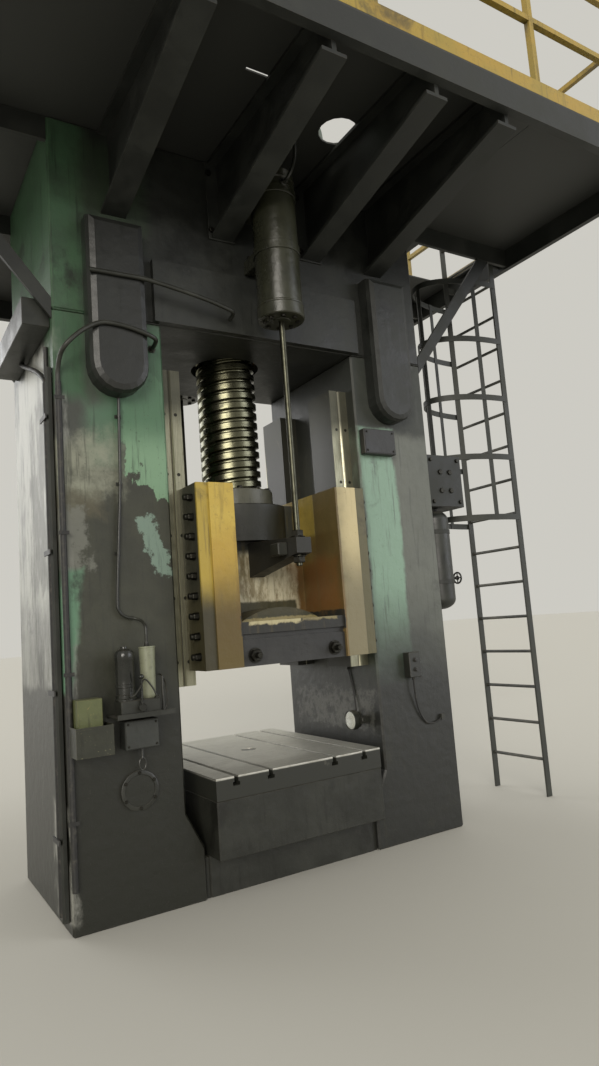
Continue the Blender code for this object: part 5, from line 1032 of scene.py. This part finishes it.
@dataclass
class LiftGroup:
    """Two lift cylinders with glands, ports and saddles, and their rods, nuts and washers."""

    y: float = 0.89
    barrel: float = 0.15
    gland: float = 0.158
    gland_low: float = 3.59
    gland_height: float = 0.09
    barrel_top: float = 4.62
    rod: float = 0.020
    piston: float = 4.00
    rod_tail: float = 1.9516
    under: float = 2.0116
    over: float = 2.1411
    saddle_lows: tuple[float, float] = (4.02, 4.42)
    saddle_height: float = 0.10
    face: float = 0.6203
    port: float = 4.50

    def barrel_shape(self, y: float) -> Shape:
        """Tube of the cylinder between its gland and its head, with the weld rings at both ends."""
        g, b, low, top = self.gland, self.barrel, self.gland_low, self.barrel_top
        neck = low + self.gland_height
        return lathe([(self.rod + 0.0012, low), (0.06, low), (0.064, low + 0.004), (g - 0.006, low + 0.004),
                      (g, low + 0.010), (g, neck - 0.006), (g - 0.005, neck), (b + 0.006, neck),
                      (b + 0.007, neck + 0.006), (b, neck + 0.014), (b, top - 0.075), (b + 0.006, top - 0.068),
                      (b + 0.006, top - 0.056), (b, top - 0.048), (b, top - 0.008), (b - 0.008, top), (0, top)],
                     (0, y, 0), 96)

    def saddle(self, side: int, low: float) -> Shape:
        """Block between the crown's face and the barrel, with the band round the barrel."""
        near, far = sorted((side * self.face, side * (self.y - self.barrel / 2)))
        band = ring(self.barrel, self.barrel + 0.008, low + 0.02, low + 0.08, (0, side * self.y, 0), 96)
        return block((-0.11, near, low), (0.11, far, low + self.saddle_height)) + band

    def port_shape(self, side: int, axis: Axis) -> Shape:
        """Port on the barrel's outer side, and the pipe that climbs from it."""
        out = side * (self.y + self.barrel)
        port = turned([(0.026, -0.012), (0.026, 0.016), (0.020, 0.02), (0.020, 0.035)], (0, out, self.port), 24,
                      axis)
        route = [(0, out + side * 0.02, 4.50), (0, out + side * 0.07, 4.505), (0.02, out + side * 0.10, 4.56),
                 (0.04, out + side * 0.105, 4.66), (0.05, out + side * 0.105, 4.80)]
        return port + tube(smooth(route, 40), 0.012, 12, (1.0, 0.0, 0.0))

    def build(self) -> None:
        """Makes the pieces on the front and on the rear."""
        nut = turned([(0.036, 0), (0.042, 0.004), (0.042, 0.036), (0.036, 0.04)], steps=6)
        washer = ring(0.021, 0.05, 0, 0.0025, steps=28)
        for end, side, axis in ENDS:
            y, r, tail = side * self.y, self.rod, self.rod_tail
            make_skin(f"lift_cylinder_{end}", f"lift_barrel_{end}", self.barrel_shape(y), OLIVE_PAINT)
            make_piece(f"lift_saddles_{end}", joined(self.saddle(side, low) for low in self.saddle_lows),
                       OLIVE_PAINT, bevel=0.003)
            rod = turned([(r - 0.003, tail), (r, tail + 0.003), (r, self.piston)], (0, y, 0), 32)
            make_skin(f"lift_rod_{end}", f"lift_rod_polished_{end}", rod, ROD_STEEL, Body.SLIDE)
            spots = [(0, y, self.under - 0.04), (0, y, self.over)]
            make_piece(f"lift_rod_nuts_{end}", nut.at(spots), BOLT_STEEL, Body.SLIDE,
                       flat=True)
            spots = ring_of(8, 0.11, (0, y, self.gland_low + 0.004), 0.5, Axis.DOWN)
            fasten(f"gland_bolts_{end}", hex_bolt(0.016), spots, Axis.DOWN)
            spots = [(0, y, self.over - 0.0026), (0, y, self.under + 0.0002)]
            make_piece(f"rod_washers_{end}", washer.at(spots), BOLT_STEEL, Body.SLIDE)
            spots = rows_of([-0.09, 0.09], [side * (self.face + 0.06)],
                            [low + self.saddle_height for low in self.saddle_lows])
            fasten(f"saddle_bolts_{end}", hex_bolt(0.02), spots)
            make_piece(f"lift_port_{end}", self.port_shape(side, axis), DARK_FITTING)


# Frame: uprights, crown and bed

@dataclass
class FrameGroup:
    """Tie rods, seams, cover screws and pipes on the frame's castings."""

    half_x: float = 1.43
    half_y: float = 0.62
    opening: float = 0.75
    seam: float = 3.5598
    tie: tuple[float, float] = (1.09, 0.38)
    tie_low: float = 0.30
    tie_seat: float = 4.8103
    cover: Point = (-1.03, -0.6343, 0.705)
    wall: float = -0.6203
    boss: float = -0.7743
    clip_heights: tuple[float, ...] = (2.92, 2.50, 2.08)

    def tie_shape(self) -> Shape:
        """Tie rod with its nut. The radius of the screwed end is a saw wave 8 mm long."""
        seat, stub = self.tie_seat, self.tie_seat + 0.20
        screwed = [(0.1 - 0.004 * (i % 2), seat + 0.15 + 0.004 * i) for i in range(13)]
        rod = turned([(0.1, self.tie_low), (0.1, seat + 0.146), *screwed, (0.092, stub)], steps=64)
        nut = turned([(0.15, seat), (0.17, seat + 0.012), (0.17, seat + 0.138), (0.15, seat + 0.15)], steps=6)
        return rod + nut

    def seam_bead(self, side: int, end: int) -> Shape:
        """Weld bead under the crown on one upright's front or rear. Its radius ripples as a weld's does."""
        across = np.linspace(self.opening + 0.01, self.half_x - 0.004, 90) * side
        path = np.stack([across, np.full(90, end * (self.half_y - 0.0015)), np.full(90, self.seam)], axis=-1)
        return tube(path, 0.0062 * (1 + 0.13 * np.sin(across * 700)), 8)

    def build(self) -> None:
        """Makes the pieces."""
        for end, sy, _ in ENDS:
            for side, sx, _ in SIDES:
                tie = self.tie_shape().at([(sx * self.tie[0], sy * self.tie[1], 0)])
                make_skin(f"tie_rod_{end}_{side}", f"tie_rod_{end}_{side}_screwed", tie, TIE_STEEL)
        seams = joined(self.seam_bead(side, end) for side in (-1, 1) for end in (-1, 1))
        make_piece("crown_seams", seams, CROWN_ENAMEL)
        x, y, z = self.cover
        rim = lathe([(0.088, 0.0), (0.1115, 0.0), (0.1115, 0.003), (0.107, 0.005), (0.09, 0.005),
                     (0.088, 0.003)], self.cover, 64, Axis.FRONT, True)
        make_piece("cover_ring", rim, DARK_FITTING)
        spots = ring_of(6, 0.098, (x, y - 0.005, z), 0.5, Axis.FRONT)
        fasten("cover_screws", hex_bolt(0.009), spots, Axis.FRONT)
        route = [(-1.056, -0.6413, 3.034), (-1.062, -0.6413, 2.80), (-1.069, -0.6413, 2.52),
                 (-1.094, -0.6413, 2.15), (-1.117, -0.6413, 1.81), (-1.108, -0.6413, 1.735),
                 (-1.065, -0.6413, 1.70), (-1.02, -0.645, 1.69), (-0.992, -0.68, 1.672), (-0.985, -0.722, 1.64),
                 (-0.985, -0.7303, 1.60), (-0.985, -0.7303, 1.5515)]
        make_skin("oil_line", "oil_tube", tube(smooth(route, 140), 0.0088, 12, (1.0, 0.3, 0.1)), TUBE_STEEL)
        self.pipes()
        clips = block((-0.020, -0.0005, -0.011), (0.020, 0.0025, 0.011)).at(
            [(x, -0.6232, z) for x, z in zip((-1.060, -1.070, -1.100), self.clip_heights)])
        loops = ring(0.0092, 0.0118, -0.009, 0.009, steps=16).at(
            [(x, -0.6413, z) for x, z in zip((-1.0592, -1.0697, -1.0989), self.clip_heights)])
        make_piece("oil_tube_clips", clips + loops, DARK_FITTING)

    def pipes(self) -> None:
        """Makes the bundle at the left corner and the two tubes that cross the left boss."""
        side, front, boss = -self.half_x - 0.0003, self.wall, self.boss
        pipes = joined(turned([(radius, low), (radius, high)], (x, y, 0), 20) for x, y, radius, low, high in (
            (side - 0.024, -0.527, 0.024, 0.10, 3.12), (side - 0.014, -0.486, 0.014, 0.30, 3.36),
            (-1.413, front - 0.018, 0.018, 0.24, 3.10)))
        clamp = block((-0.004, -0.075, -0.014), (0.004, 0.075, 0.014)).at(
            [(side - 0.050, -0.530, z) for z in (0.5, 1.3, 2.1, 2.9)])
        bands = block((-0.03, -0.0350, -0.011), (0.03, -0.0325, 0.011)).at(
            [(-1.413, front - 0.004, z) for z in (0.6, 1.4, 2.2, 3.0)])
        make_piece("corner_bundle", pipes + clamp + bands, CABLE_SHEATH)
        low = smooth([(-1.413, front - 0.018, 3.05), (-1.413, front - 0.020, 3.16), (-1.410, -0.70, 3.24),
                      (-1.39, -0.762, 3.285), (-1.32, boss, 3.36), (-1.24, boss, 3.42), (-1.16, boss, 3.45),
                      (-1.04, boss, 3.445), (-0.92, boss, 3.42), (-0.845, -0.755, 3.40), (-0.825, -0.70, 3.39),
                      (-0.82, -0.6205, 3.385)], 120)
        high = smooth([(-1.24, boss, 3.77), (-1.05, boss, 3.772), (-0.87, boss, 3.77), (-0.53, boss, 3.72),
                       (-0.33, boss, 3.672), (-0.29, -0.755, 3.660), (-0.275, -0.70, 3.655),
                       (-0.272, -0.62, 3.652)], 100)
        make_skin("boss_pipe", "boss_tube", tube(low, 0.0138, 14, (1.0, 0.2, 0.1)), DARK_FITTING)
        make_skin("crown_pipe", "crown_tube", tube(high, 0.0138, 14, (0.1, 0.2, 1.0)), DARK_FITTING)
        feeder = smooth([(-1.47, 0.12, 3.465), (-1.47, 0.08, 3.44), (-1.468, -0.10, 3.36),
                         (-1.463, -0.32, 3.26), (-1.456, -0.48, 3.16), (-1.4543, -0.527, 3.09)], 60)
        make_piece("duct_feeder", tube(feeder, 0.016, 12, (1.0, 0.0, 0.2)), CABLE_SHEATH)
        flange = turned([(0.026, 0), (0.026, 0.006), (0.020, 0.008), (0.020, 0.016)], steps=6)
        fasten("tube_flanges", flange, [(-0.82, front, 3.385), (-0.272, front, 3.652)], Axis.FRONT)


# Platform, ladder and cage

@dataclass
class PlatformGroup:
    """Ladder with round rungs, its cage, and the plates and bolts at the roots of two platform arms."""

    x: float = 2.50
    y: float = -0.232
    half: float = 0.288
    deep: float = 0.055
    thick: float = 0.016
    top: float = 5.80
    rung: float = 0.013
    pitch: float = 0.30
    hoop_heights: tuple[float, ...] = (2.36, 2.89, 3.42, 3.95, 4.48)
    hoop_reach: float = 0.62
    band: float = 0.05
    bar_shares: tuple[float, ...] = (-0.385, -0.231, 0.0, 0.231, 0.385)
    arms: tuple[float, float] = (-0.27, 0.45)

    def stringer(self, side: int) -> Shape:
        """Flat bar at one side of the ladder."""
        y = self.y + side * self.half
        return block((self.x - self.deep / 2, y - self.thick / 2, 0.0),
                     (self.x + self.deep / 2, y + self.thick / 2, self.top))

    def hoop(self, height: float) -> Shape:
        """One hoop: half an ellipse seen from above, with a straight tab on each stringer."""
        turn = np.linspace(-QUARTER_TURN, QUARTER_TURN, 41)
        face, width = self.x - self.deep / 2, self.half + self.thick / 2 + 0.0033
        bow = np.stack([face - (self.hoop_reach - 0.003) * np.cos(turn), self.y + width * np.sin(turn),
                        np.full(41, height)], axis=-1)
        tabs = [np.array([[face + 0.03, self.y + s * width, height]]) for s in (-1, 1)]
        return flat_bar(np.vstack([tabs[0], bow, tabs[1]]), 0.006, self.band)

    def bar(self, share: float) -> Shape:
        """One upright bar inside the hoops, at a share of half a turn and flat against them."""
        low, high = self.hoop_heights[0] - self.band / 2, self.hoop_heights[-1] + self.band / 2
        face, width = self.x - self.deep / 2, self.half + self.thick / 2 + 0.0003
        turn = math.pi * share
        spot = np.array([face - (self.hoop_reach - 0.009) * math.cos(turn),
                         self.y + (width - 0.003) * math.sin(turn), 0.0])
        out = np.array([-math.cos(turn) / self.hoop_reach, math.sin(turn) / width, 0.0])
        out /= np.linalg.norm(out)
        path = spot + np.array([[0.0, 0.0, low], [0.0, 0.0, (low + high) / 2], [0.0, 0.0, high]])
        return flat_bar(path, 0.006, 0.04, tuple(np.cross(out, UPWARD)))

    def build(self) -> None:
        """Makes the pieces."""
        make_piece("ladder_stringers", joined(map(self.stringer, (-1, 1))), PLATFORM_PAINT,
                   replaces=["ladder"], bevel=0.002)
        heights = np.arange(self.pitch, self.top, self.pitch)
        rung = tube(np.array([[0.0, y, 0.0] for y in (-self.half, 0.0, self.half)]), self.rung, 14)
        make_piece("ladder_rungs", rung.at(rows_of([self.x], [self.y], heights)), RUNG_STEEL)
        collar = lathe([(0.0135, -0.004), (0.0185, -0.004), (0.0165, 0.003), (0.0135, 0.004)], steps=16,
                       closed=True)
        reach = self.half - self.thick / 2 - 0.002
        welds = joined(collar.at(rows_of([self.x], [self.y + side * reach], heights), axis)
                       for side, axis in ((-1, Axis.Y), (1, Axis.FRONT)))
        make_piece("ladder_welds", welds, PLATFORM_PAINT)
        make_skin("ladder_cage", "cage_hoops", joined(map(self.hoop, self.hoop_heights)), PLATFORM_PAINT)
        make_piece("cage_bars", joined(map(self.bar, self.bar_shares)), PLATFORM_PAINT)
        plates = joined(block((x - 0.10, -0.6343, 4.235), (x + 0.10, -0.6206, 4.80)) for x in self.arms)
        make_piece("arm_root_plates", plates, BEAM_PAINT, bevel=0.003)
        columns = [x + shift for x in self.arms for shift in (-0.08, 0.08)]
        fasten("arm_root_bolts", hex_bolt(0.02), rows_of(columns, [-0.6343], [4.30, 4.72]), Axis.FRONT)


# Lubricator group and tray on the left upright

@dataclass
class LubricatorGroup:
    """Grease pump with its lever, oil bottle, drain tap, small tubes and tray on the left upright."""

    pump: Point = (-1.12, -0.7303, 1.2306)
    cup: Point = (-0.985, -0.7303, 1.2306)
    box: tuple[Point, Point] = ((-1.13, -0.7203, 0.95), (-0.93, -0.6203, 1.11))
    lever: Point = (-1.055, -0.8003, 1.1878)
    tap: Point = (-1.022, -0.676, 0.858)

    def lever_shape(self) -> Shape:
        """Hub on its pin, and the tapered arm with a ball at its end."""
        x, y, z = self.lever
        foot = (x, y - 0.0008, z)
        hub = turned([(0.0205, 0), (0.0215, 0.003), (0.0215, 0.027), (0.019, 0.030)], foot, 32, Axis.FRONT)
        angles = np.linspace(-QUARTER_TURN, QUARTER_TURN, 13)[1:-1]
        ball = [(0.0155 * math.cos(t), 0.17 + 0.0155 * math.sin(t)) for t in angles]
        arm = lathe([(0, 0.005), (0.0078, 0.005), (0.0064, 0.10), (0.0060, 0.156), *ball, (0, 0.1855)],
                    (x, y - 0.0158, z), 24)
        return hub + arm + turned([(0.0078, -0.029), (0.0078, 0.001)], foot, 16, Axis.FRONT)

    def tubes(self) -> Shape:
        """Bent tube from the pump to its nut on the shelf, and the thin drip tube that runs to the upright."""
        elbow = smooth([(-1.12, -0.79, 1.25), (-1.12, -0.815, 1.252), (-1.10, -0.832, 1.262),
                        (-1.07, -0.835, 1.30), (-1.03, -0.80, 1.34), (-0.99, -0.792, 1.30),
                        (-0.965, -0.795, 1.25), (-0.96, -0.790, 1.2145)], 60)
        drip = smooth([(-0.90, -0.76, 1.1575), (-0.888, -0.765, 1.19), (-0.885, -0.76, 1.25),
                       (-0.882, -0.72, 1.31), (-0.878, -0.660, 1.345), (-0.876, -0.624, 1.35)], 40)
        return (tube(elbow, 0.0045, 10, (0.4, 1.0, 0.3)) + hex_bolt(0.014).at([(-0.96, -0.79, 1.2306)])
                + tube(drip, 0.004, 10, (1.0, 0.2, 0.1)))

    def tap_shape(self) -> Shape:
        """Drain tap: a short bent spout, and a handle whose centre line is an ellipse."""
        x, y, z = self.tap
        spout = smooth([(-1.02, -0.67, 0.952), (-1.02, -0.672, 0.93), (-1.021, -0.674, 0.905),
                        (-1.022, -0.676, 0.89)], 20)
        turn = np.linspace(0, FULL_TURN, 41)
        across = 0.021 * np.cos(turn)
        handle = np.stack([x + across, y + 0.2 * across, z + 0.034 * np.sin(turn)], axis=-1)
        return tube(spout, 0.009, 12, (1.0, 0.0, 0.0)) + tube(handle, 0.005, 8, (0.2, 1.0, 0.0))

    def build(self) -> None:
        """Makes the pieces."""
        pump = turned([(0.062, 0.0), (0.062, 0.008), (0.058, 0.012), (0.058, 0.03), (0.0535, 0.033),
                       (0.0535, 0.070), (0.0558, 0.073), (0.0558, 0.088), (0.0535, 0.091), (0.0535, 0.222),
                       (0.0558, 0.226), (0.0558, 0.252), (0.054, 0.262), (0.048, 0.276), (0.030, 0.286),
                       (0.020, 0.290), (0.018, 0.300)], self.pump, 48)
        make_skin("grease_pump", "grease_pump_ribbed", pump, PUMP_PAINT)
        cup = turned([(0.037, 0.0), (0.0395, 0.004), (0.0405, 0.02), (0.0462, 0.282), (0.0482, 0.284),
                      (0.0486, 0.287), (0.0482, 0.291), (0.045, 0.2925)], self.cup, 56)
        cap = turned([(0.0135, 0.292), (0.0145, 0.294), (0.0145, 0.303), (0.012, 0.306), (0.012, 0.314),
                      (0.0105, 0.3195)], self.cup, 32)
        make_skin("oil_cup", "oil_beaker", cup, BOTTLE_PLASTIC)
        make_piece("oil_beaker_cap", cap, HOSE_COVER)
        make_skin("lubricator_lever", "pump_lever", self.lever_shape(), PUMP_PAINT, Body.LEVER)
        make_piece("pump_tubes", self.tubes(), TUBE_STEEL)
        (x0, y0, z0), (x1, _, z1) = self.box
        lid = block((x0 + 0.006, y0 - 0.003, z0 + 0.006), (x1 - 0.006, y0 - 0.0001, z1 - 0.006))
        make_piece("lubricator_box_lid", lid, GREY_PAINT, bevel=0.0012)
        spots = rows_of([x0 + 0.018, x1 - 0.018], [y0 - 0.003], [z0 + 0.018, z1 - 0.018])
        fasten("lubricator_box_screws", hex_bolt(0.006), spots, Axis.FRONT)
        make_piece("drain_tap", self.tap_shape(), DARK_FITTING)
        corners = ((-1.4195, -0.6303), (-1.4195, -0.7903), (-1.2155, -0.7903), (-1.2155, -0.6303))
        rim = flat_bar(np.array([(x, y, 1.1105) for x, y in corners]), 0.006, 0.012)
        make_piece("tray_rim", rim, TRAY_PAINT)


# Fittings on the right upright and its side

@dataclass
class RightSideGroup:
    """Junction box, switch, accumulator, manifold, handwheel, lamp and the two free cables."""

    tank: Point = (1.57, -0.46, 0.0)
    radius: float = 0.115
    low: float = 1.61
    top: float = 2.40
    cradle_lows: tuple[float, float] = (1.80, 2.20)
    wall: float = 1.4303
    wheel: Point = (1.715, -0.46, 1.855)
    wheel_radius: float = 0.0435
    lamp: Point = (0.6847, -0.40, 0.86)

    def tank_shape(self) -> Shape:
        """Accumulator shell: a quarter ellipse at the foot, a straight wall, and an ellipse to the neck."""
        r, dome = self.radius, self.radius * 0.7
        turn = np.linspace(0, QUARTER_TURN, 14)
        foot = [(r * math.sin(t), self.low + dome - dome * math.cos(t)) for t in turn]
        head = [(0.03 + (r - 0.03) * math.cos(t), self.top - dome + dome * math.sin(t)) for t in turn]
        neck = [(0.03, self.top + 0.006), (0.036, self.top + 0.007), (0.036, self.top + 0.016),
                (0.030, self.top + 0.018), (0, self.top + 0.018)]
        return lathe([*foot, *head, *neck], self.tank, 64)

    def wheel_shape(self) -> Shape:
        """Handwheel: a round rim, its hub and stem, and four spokes."""
        x, y, z = self.wheel
        middle, turn = x + 0.053, np.linspace(0, FULL_TURN, 65)
        circle = np.stack([np.full(65, middle), y + self.wheel_radius * np.cos(turn),
                           z + self.wheel_radius * np.sin(turn)], axis=-1)
        stem = lathe([(0, -0.028), (0.0118, -0.028), (0.0118, 0.046), (0.018, 0.047), (0.018, 0.058),
                      (0.013, 0.062), (0, 0.063)], self.wheel, 28, Axis.X)
        spokes = joined(tube(np.array([[middle, y + r * math.cos(t), z + r * math.sin(t)]
                                       for r in (0.008, 0.026, 0.040)]), 0.0048, 10, (1.0, 0.0, 0.0))
                        for t in (QUARTER_TURN * i for i in range(4)))
        return tube(circle, 0.0072, 14, (1.0, 0.0, 0.0)) + stem + spokes

    def build(self) -> None:
        """Makes the pieces."""
        x, y, _ = self.tank
        valve = lathe([(0, -0.05), (0.026, -0.05), (0.026, -0.006), (0.022, 0.0), (0.0128, 0.0)], self.wheel,
                      32, Axis.X)
        cradles = joined(block((self.wall, y - 0.06, low), (x - 0.0575, y + 0.06, low + 0.05))
                         for low in self.cradle_lows)
        straps = joined(ring(self.radius, self.radius + 0.004, low + 0.008, low + 0.042, self.tank)
                        for low in self.cradle_lows)
        make_skin("accumulator", "accumulator_shell", self.tank_shape() + valve, TANK_PAINT)
        make_piece("accumulator_straps", cradles + straps, BEAM_PAINT, bevel=0.0015)
        spots = rows_of([self.wall + 0.03], [y - 0.045, y + 0.045], [low + 0.05 for low in self.cradle_lows])
        fasten("cradle_bolts", hex_bolt(0.012), spots)
        make_skin("valve_handwheel", "handwheel", self.wheel_shape(), PUMP_PAINT, Body.WHEEL)
        fasten("manifold_bolts", hex_bolt(0.016), rows_of([1.47, 1.75], [-0.60], [2.46, 2.80]), Axis.FRONT)
        plug = turned([(0.022, 0), (0.022, 0.01), (0.018, 0.013)], steps=6)
        fasten("manifold_plugs", plug, rows_of([1.56, 1.66], [-0.60], [2.55, 2.70]), Axis.FRONT)
        cover = block((0.778, -0.6835, 2.798), (1.052, -0.6804, 2.972))
        make_piece("junction_box_cover", cover, HOLDER_PAINT, bevel=0.0012)
        spots = rows_of([0.795, 1.035], [-0.6835], [2.815, 2.955])
        fasten("junction_box_screws", hex_bolt(0.008), spots, Axis.FRONT)
        button = lathe([(0, 0), (0.017, 0), (0.017, 0.004), (0.0125, 0.006), (0.0125, 0.014), (0.010, 0.017),
                        (0, 0.0175)], steps=28)
        spots = rows_of([1.0475], [-0.6903], [1.19, 1.26])
        make_piece("switch_buttons", button.at(spots, Axis.FRONT), HOSE_COVER)
        self.lamp_pieces()
        self.cables()

    def lamp_pieces(self) -> None:
        """Makes the lamp's turned housing with cooling ribs, its bezel and its bulging glass."""
        ribs = [(0.0565 if i % 2 else 0.0505, -0.022 + 0.004 * i) for i in range(6)]
        head = turned([(0.040, -0.030), (0.045, -0.027), *ribs, (0.066, 0.006), (0.070, 0.012), (0.070, 0.040),
                       (0.0712, 0.043), (0.0712, 0.0550), (0.066, 0.0552), (0.062, 0.050), (0.062, 0.0462)],
                      self.lamp, 56, Axis.LEFT)
        pins = turned([(0.0088, -0.084), (0.0088, 0.084)], self.lamp, 20, Axis.Y)
        knob = [(0.016, 0.0845), (0.016, 0.094), (0.012, 0.098)]
        knobs = joined(turned(knob, self.lamp, 8, axis) for axis in (Axis.Y, Axis.FRONT))
        make_skin("lamp_head", "lamp_housing", head + pins + knobs, DARK_FITTING, Body.LAMP)
        glass = lathe([(0, 0.0466), (0.0612, 0.0466), (0.0612, 0.051), (0.056, 0.0545), (0.042, 0.0585),
                       (0.022, 0.0605), (0, 0.061)], self.lamp, 56, Axis.LEFT)
        make_skin("lamp_lens", "lamp_glass", glass, LAMP_PRESSED_GLASS, Body.LAMP)

    def cables(self) -> None:
        """Makes the free cables of the switch and the lamp. Each row has the name, the diameter, the gland that
        the cable leaves, the middle of the socket that it ends in, and the route."""
        sets = (
            ("switch_cable", 0.013, ((1.0475, -0.655, 1.1345), Axis.DOWN), (1.306, -0.6345, 0.817),
             [(1.0475, -0.655, 1.125), (1.048, -0.655, 1.09), (1.052, -0.652, 1.03), (1.066, -0.642, 0.96),
              (1.098, -0.634, 0.87), (1.150, -0.631, 0.800), (1.210, -0.631, 0.782), (1.262, -0.632, 0.792),
              (1.298, -0.634, 0.812)]),
            ("lamp_cable", 0.012, ((0.7330, -0.3400, 0.8790), Axis.Z), (0.7400, -0.270, 1.235),
             [(0.7330, -0.3400, 0.8870), (0.7335, -0.3380, 0.930), (0.7380, -0.330, 0.990),
              (0.7415, -0.312, 1.070), (0.7415, -0.292, 1.150), (0.7415, -0.275, 1.215)]))
        gland = lathe([(0, 0), (0.014, 0), (0.014, 0.010), (0.0105, 0.013), (0.0105, 0.019),
                       (0.0068, 0.022)], steps=6)
        socket = block((-0.016, -0.012, -0.02), (0.016, 0.012, 0.02))
        for name, thick, (spot, axis), end, route in sets:
            path = smooth(route, 60)
            piece = make_piece(name, tube(path, thick / 2, 12, (1.0, 0.6, 0.0)), CABLE_SHEATH)
            ends = gland.at([spot], axis) + socket.at([end])
            fitting = make_piece(f"{name}_glands", ends, DARK_FITTING, bevel=0.001)


# Camera, light and floor

@dataclass
class Studio:
    """Camera at the photo's viewing angle, soft lamps and a pale floor."""

    place: Point = (-2.41378, -4.80693, 1.600)
    focal_share: float = 718.94 / 1066
    yaw: float = 31.82
    pitch: float = 6.98
    roll: float = -4.308
    sensor: float = 36.0
    floor_size: float = 80.0

    def camera(self) -> None:
        """Makes the camera. Forward comes from yaw and pitch, and right and up are then turned by the roll."""
        yaw, pitch, roll = (math.radians(a) for a in (self.yaw, self.pitch, self.roll))
        ahead = Vector((math.sin(yaw) * math.cos(pitch), math.cos(yaw) * math.cos(pitch), math.sin(pitch)))
        right = Vector((math.cos(yaw), -math.sin(yaw), 0.0))
        up = right.cross(ahead)
        right, up = (math.cos(roll) * right + math.sin(roll) * up, math.cos(roll) * up - math.sin(roll) * right)
        data = bpy.data.cameras.new("camera")
        data.sensor_width = self.sensor
        data.lens = self.focal_share * self.sensor
        data.clip_end = 200.0
        camera = bpy.data.objects.new("camera", data)
        turn = Matrix((right, up, -ahead)).transposed().to_4x4()
        camera.matrix_world = Matrix.Translation(self.place) @ turn
        bpy.context.scene.collection.objects.link(camera)
        bpy.context.scene.camera = camera

    def lamp(self, name: str, place: Point, aim: Point, spread: float, power: float, colour: str) -> None:
        """Makes one soft, even light that comes from far away.

        Args:
            name: its name.
            place: where it comes from.
            aim: point that it faces.
            spread: how wide it looks, in degrees.
            power: its strength in watts a square metre.
            colour: hex colour of its light.
        """
        data = bpy.data.lights.new(name, "SUN")
        data.angle, data.energy, data.color = math.radians(spread), power, linear(colour)[:3]
        lamp = bpy.data.objects.new(name, data)
        lamp.location = place
        lamp.rotation_mode = "QUATERNION"
        lamp.rotation_quaternion = (Vector(aim) - Vector(place)).to_track_quat("-Z", "Y")
        bpy.context.scene.collection.objects.link(lamp)

    def build(self) -> None:
        """Makes the camera, the lights, the sky and the floor."""
        self.camera()
        self.lamp("key", (-6.5, -9.0, 5.5), (0, 0, 2.2), 30.0, 1.9, "#fff9ef")
        self.lamp("fill", (8.0, -7.0, 4.0), (0, 0, 2.2), 34.0, 0.8, "#f3f6ff")
        self.lamp("back", (-5.0, 10.0, 6.0), (0, 0, 2.5), 34.0, 0.9, "#ffffff")
        self.lamp("top", (1.0, 1.0, 13.0), (0, 0, 4), 50.0, 0.5, "#ffffff")
        world = bpy.data.worlds.new("sky")
        world.use_nodes = True
        sky = world.node_tree.nodes["Background"]
        sky.inputs["Color"].default_value = linear("#dcdad2")
        sky.inputs["Strength"].default_value = 0.85
        bpy.context.scene.world = world
        size = self.floor_size
        mesh = bpy.data.meshes.new("floor")
        corners = [(x * size, y * size, 0) for x, y in ((-1, -1), (1, -1), (1, 1), (-1, 1))]
        mesh.from_pydata(corners, [], [(0, 1, 2, 3)])
        mesh.materials.append(Coat("plain_floor", "#bdbbb3", 0.8).close())
        floor = bpy.data.objects.new("floor", mesh)
        bpy.context.scene.collection.objects.link(floor)
        bpy.context.scene.view_settings.view_transform = "Standard"


def main() -> None:
    """Builds the looks in order."""
    logging.basicConfig(level=logging.INFO, format="%(name)s: %(message)s")
    Studio().build()
    dress_nodes()
    for group in (FrameGroup(), ScrewDrive(), SlideGroup(), LiftGroup(), PlatformGroup(), LubricatorGroup(),
                  RightSideGroup()):
        group.build()


if __name__ == "__main__":
    main()
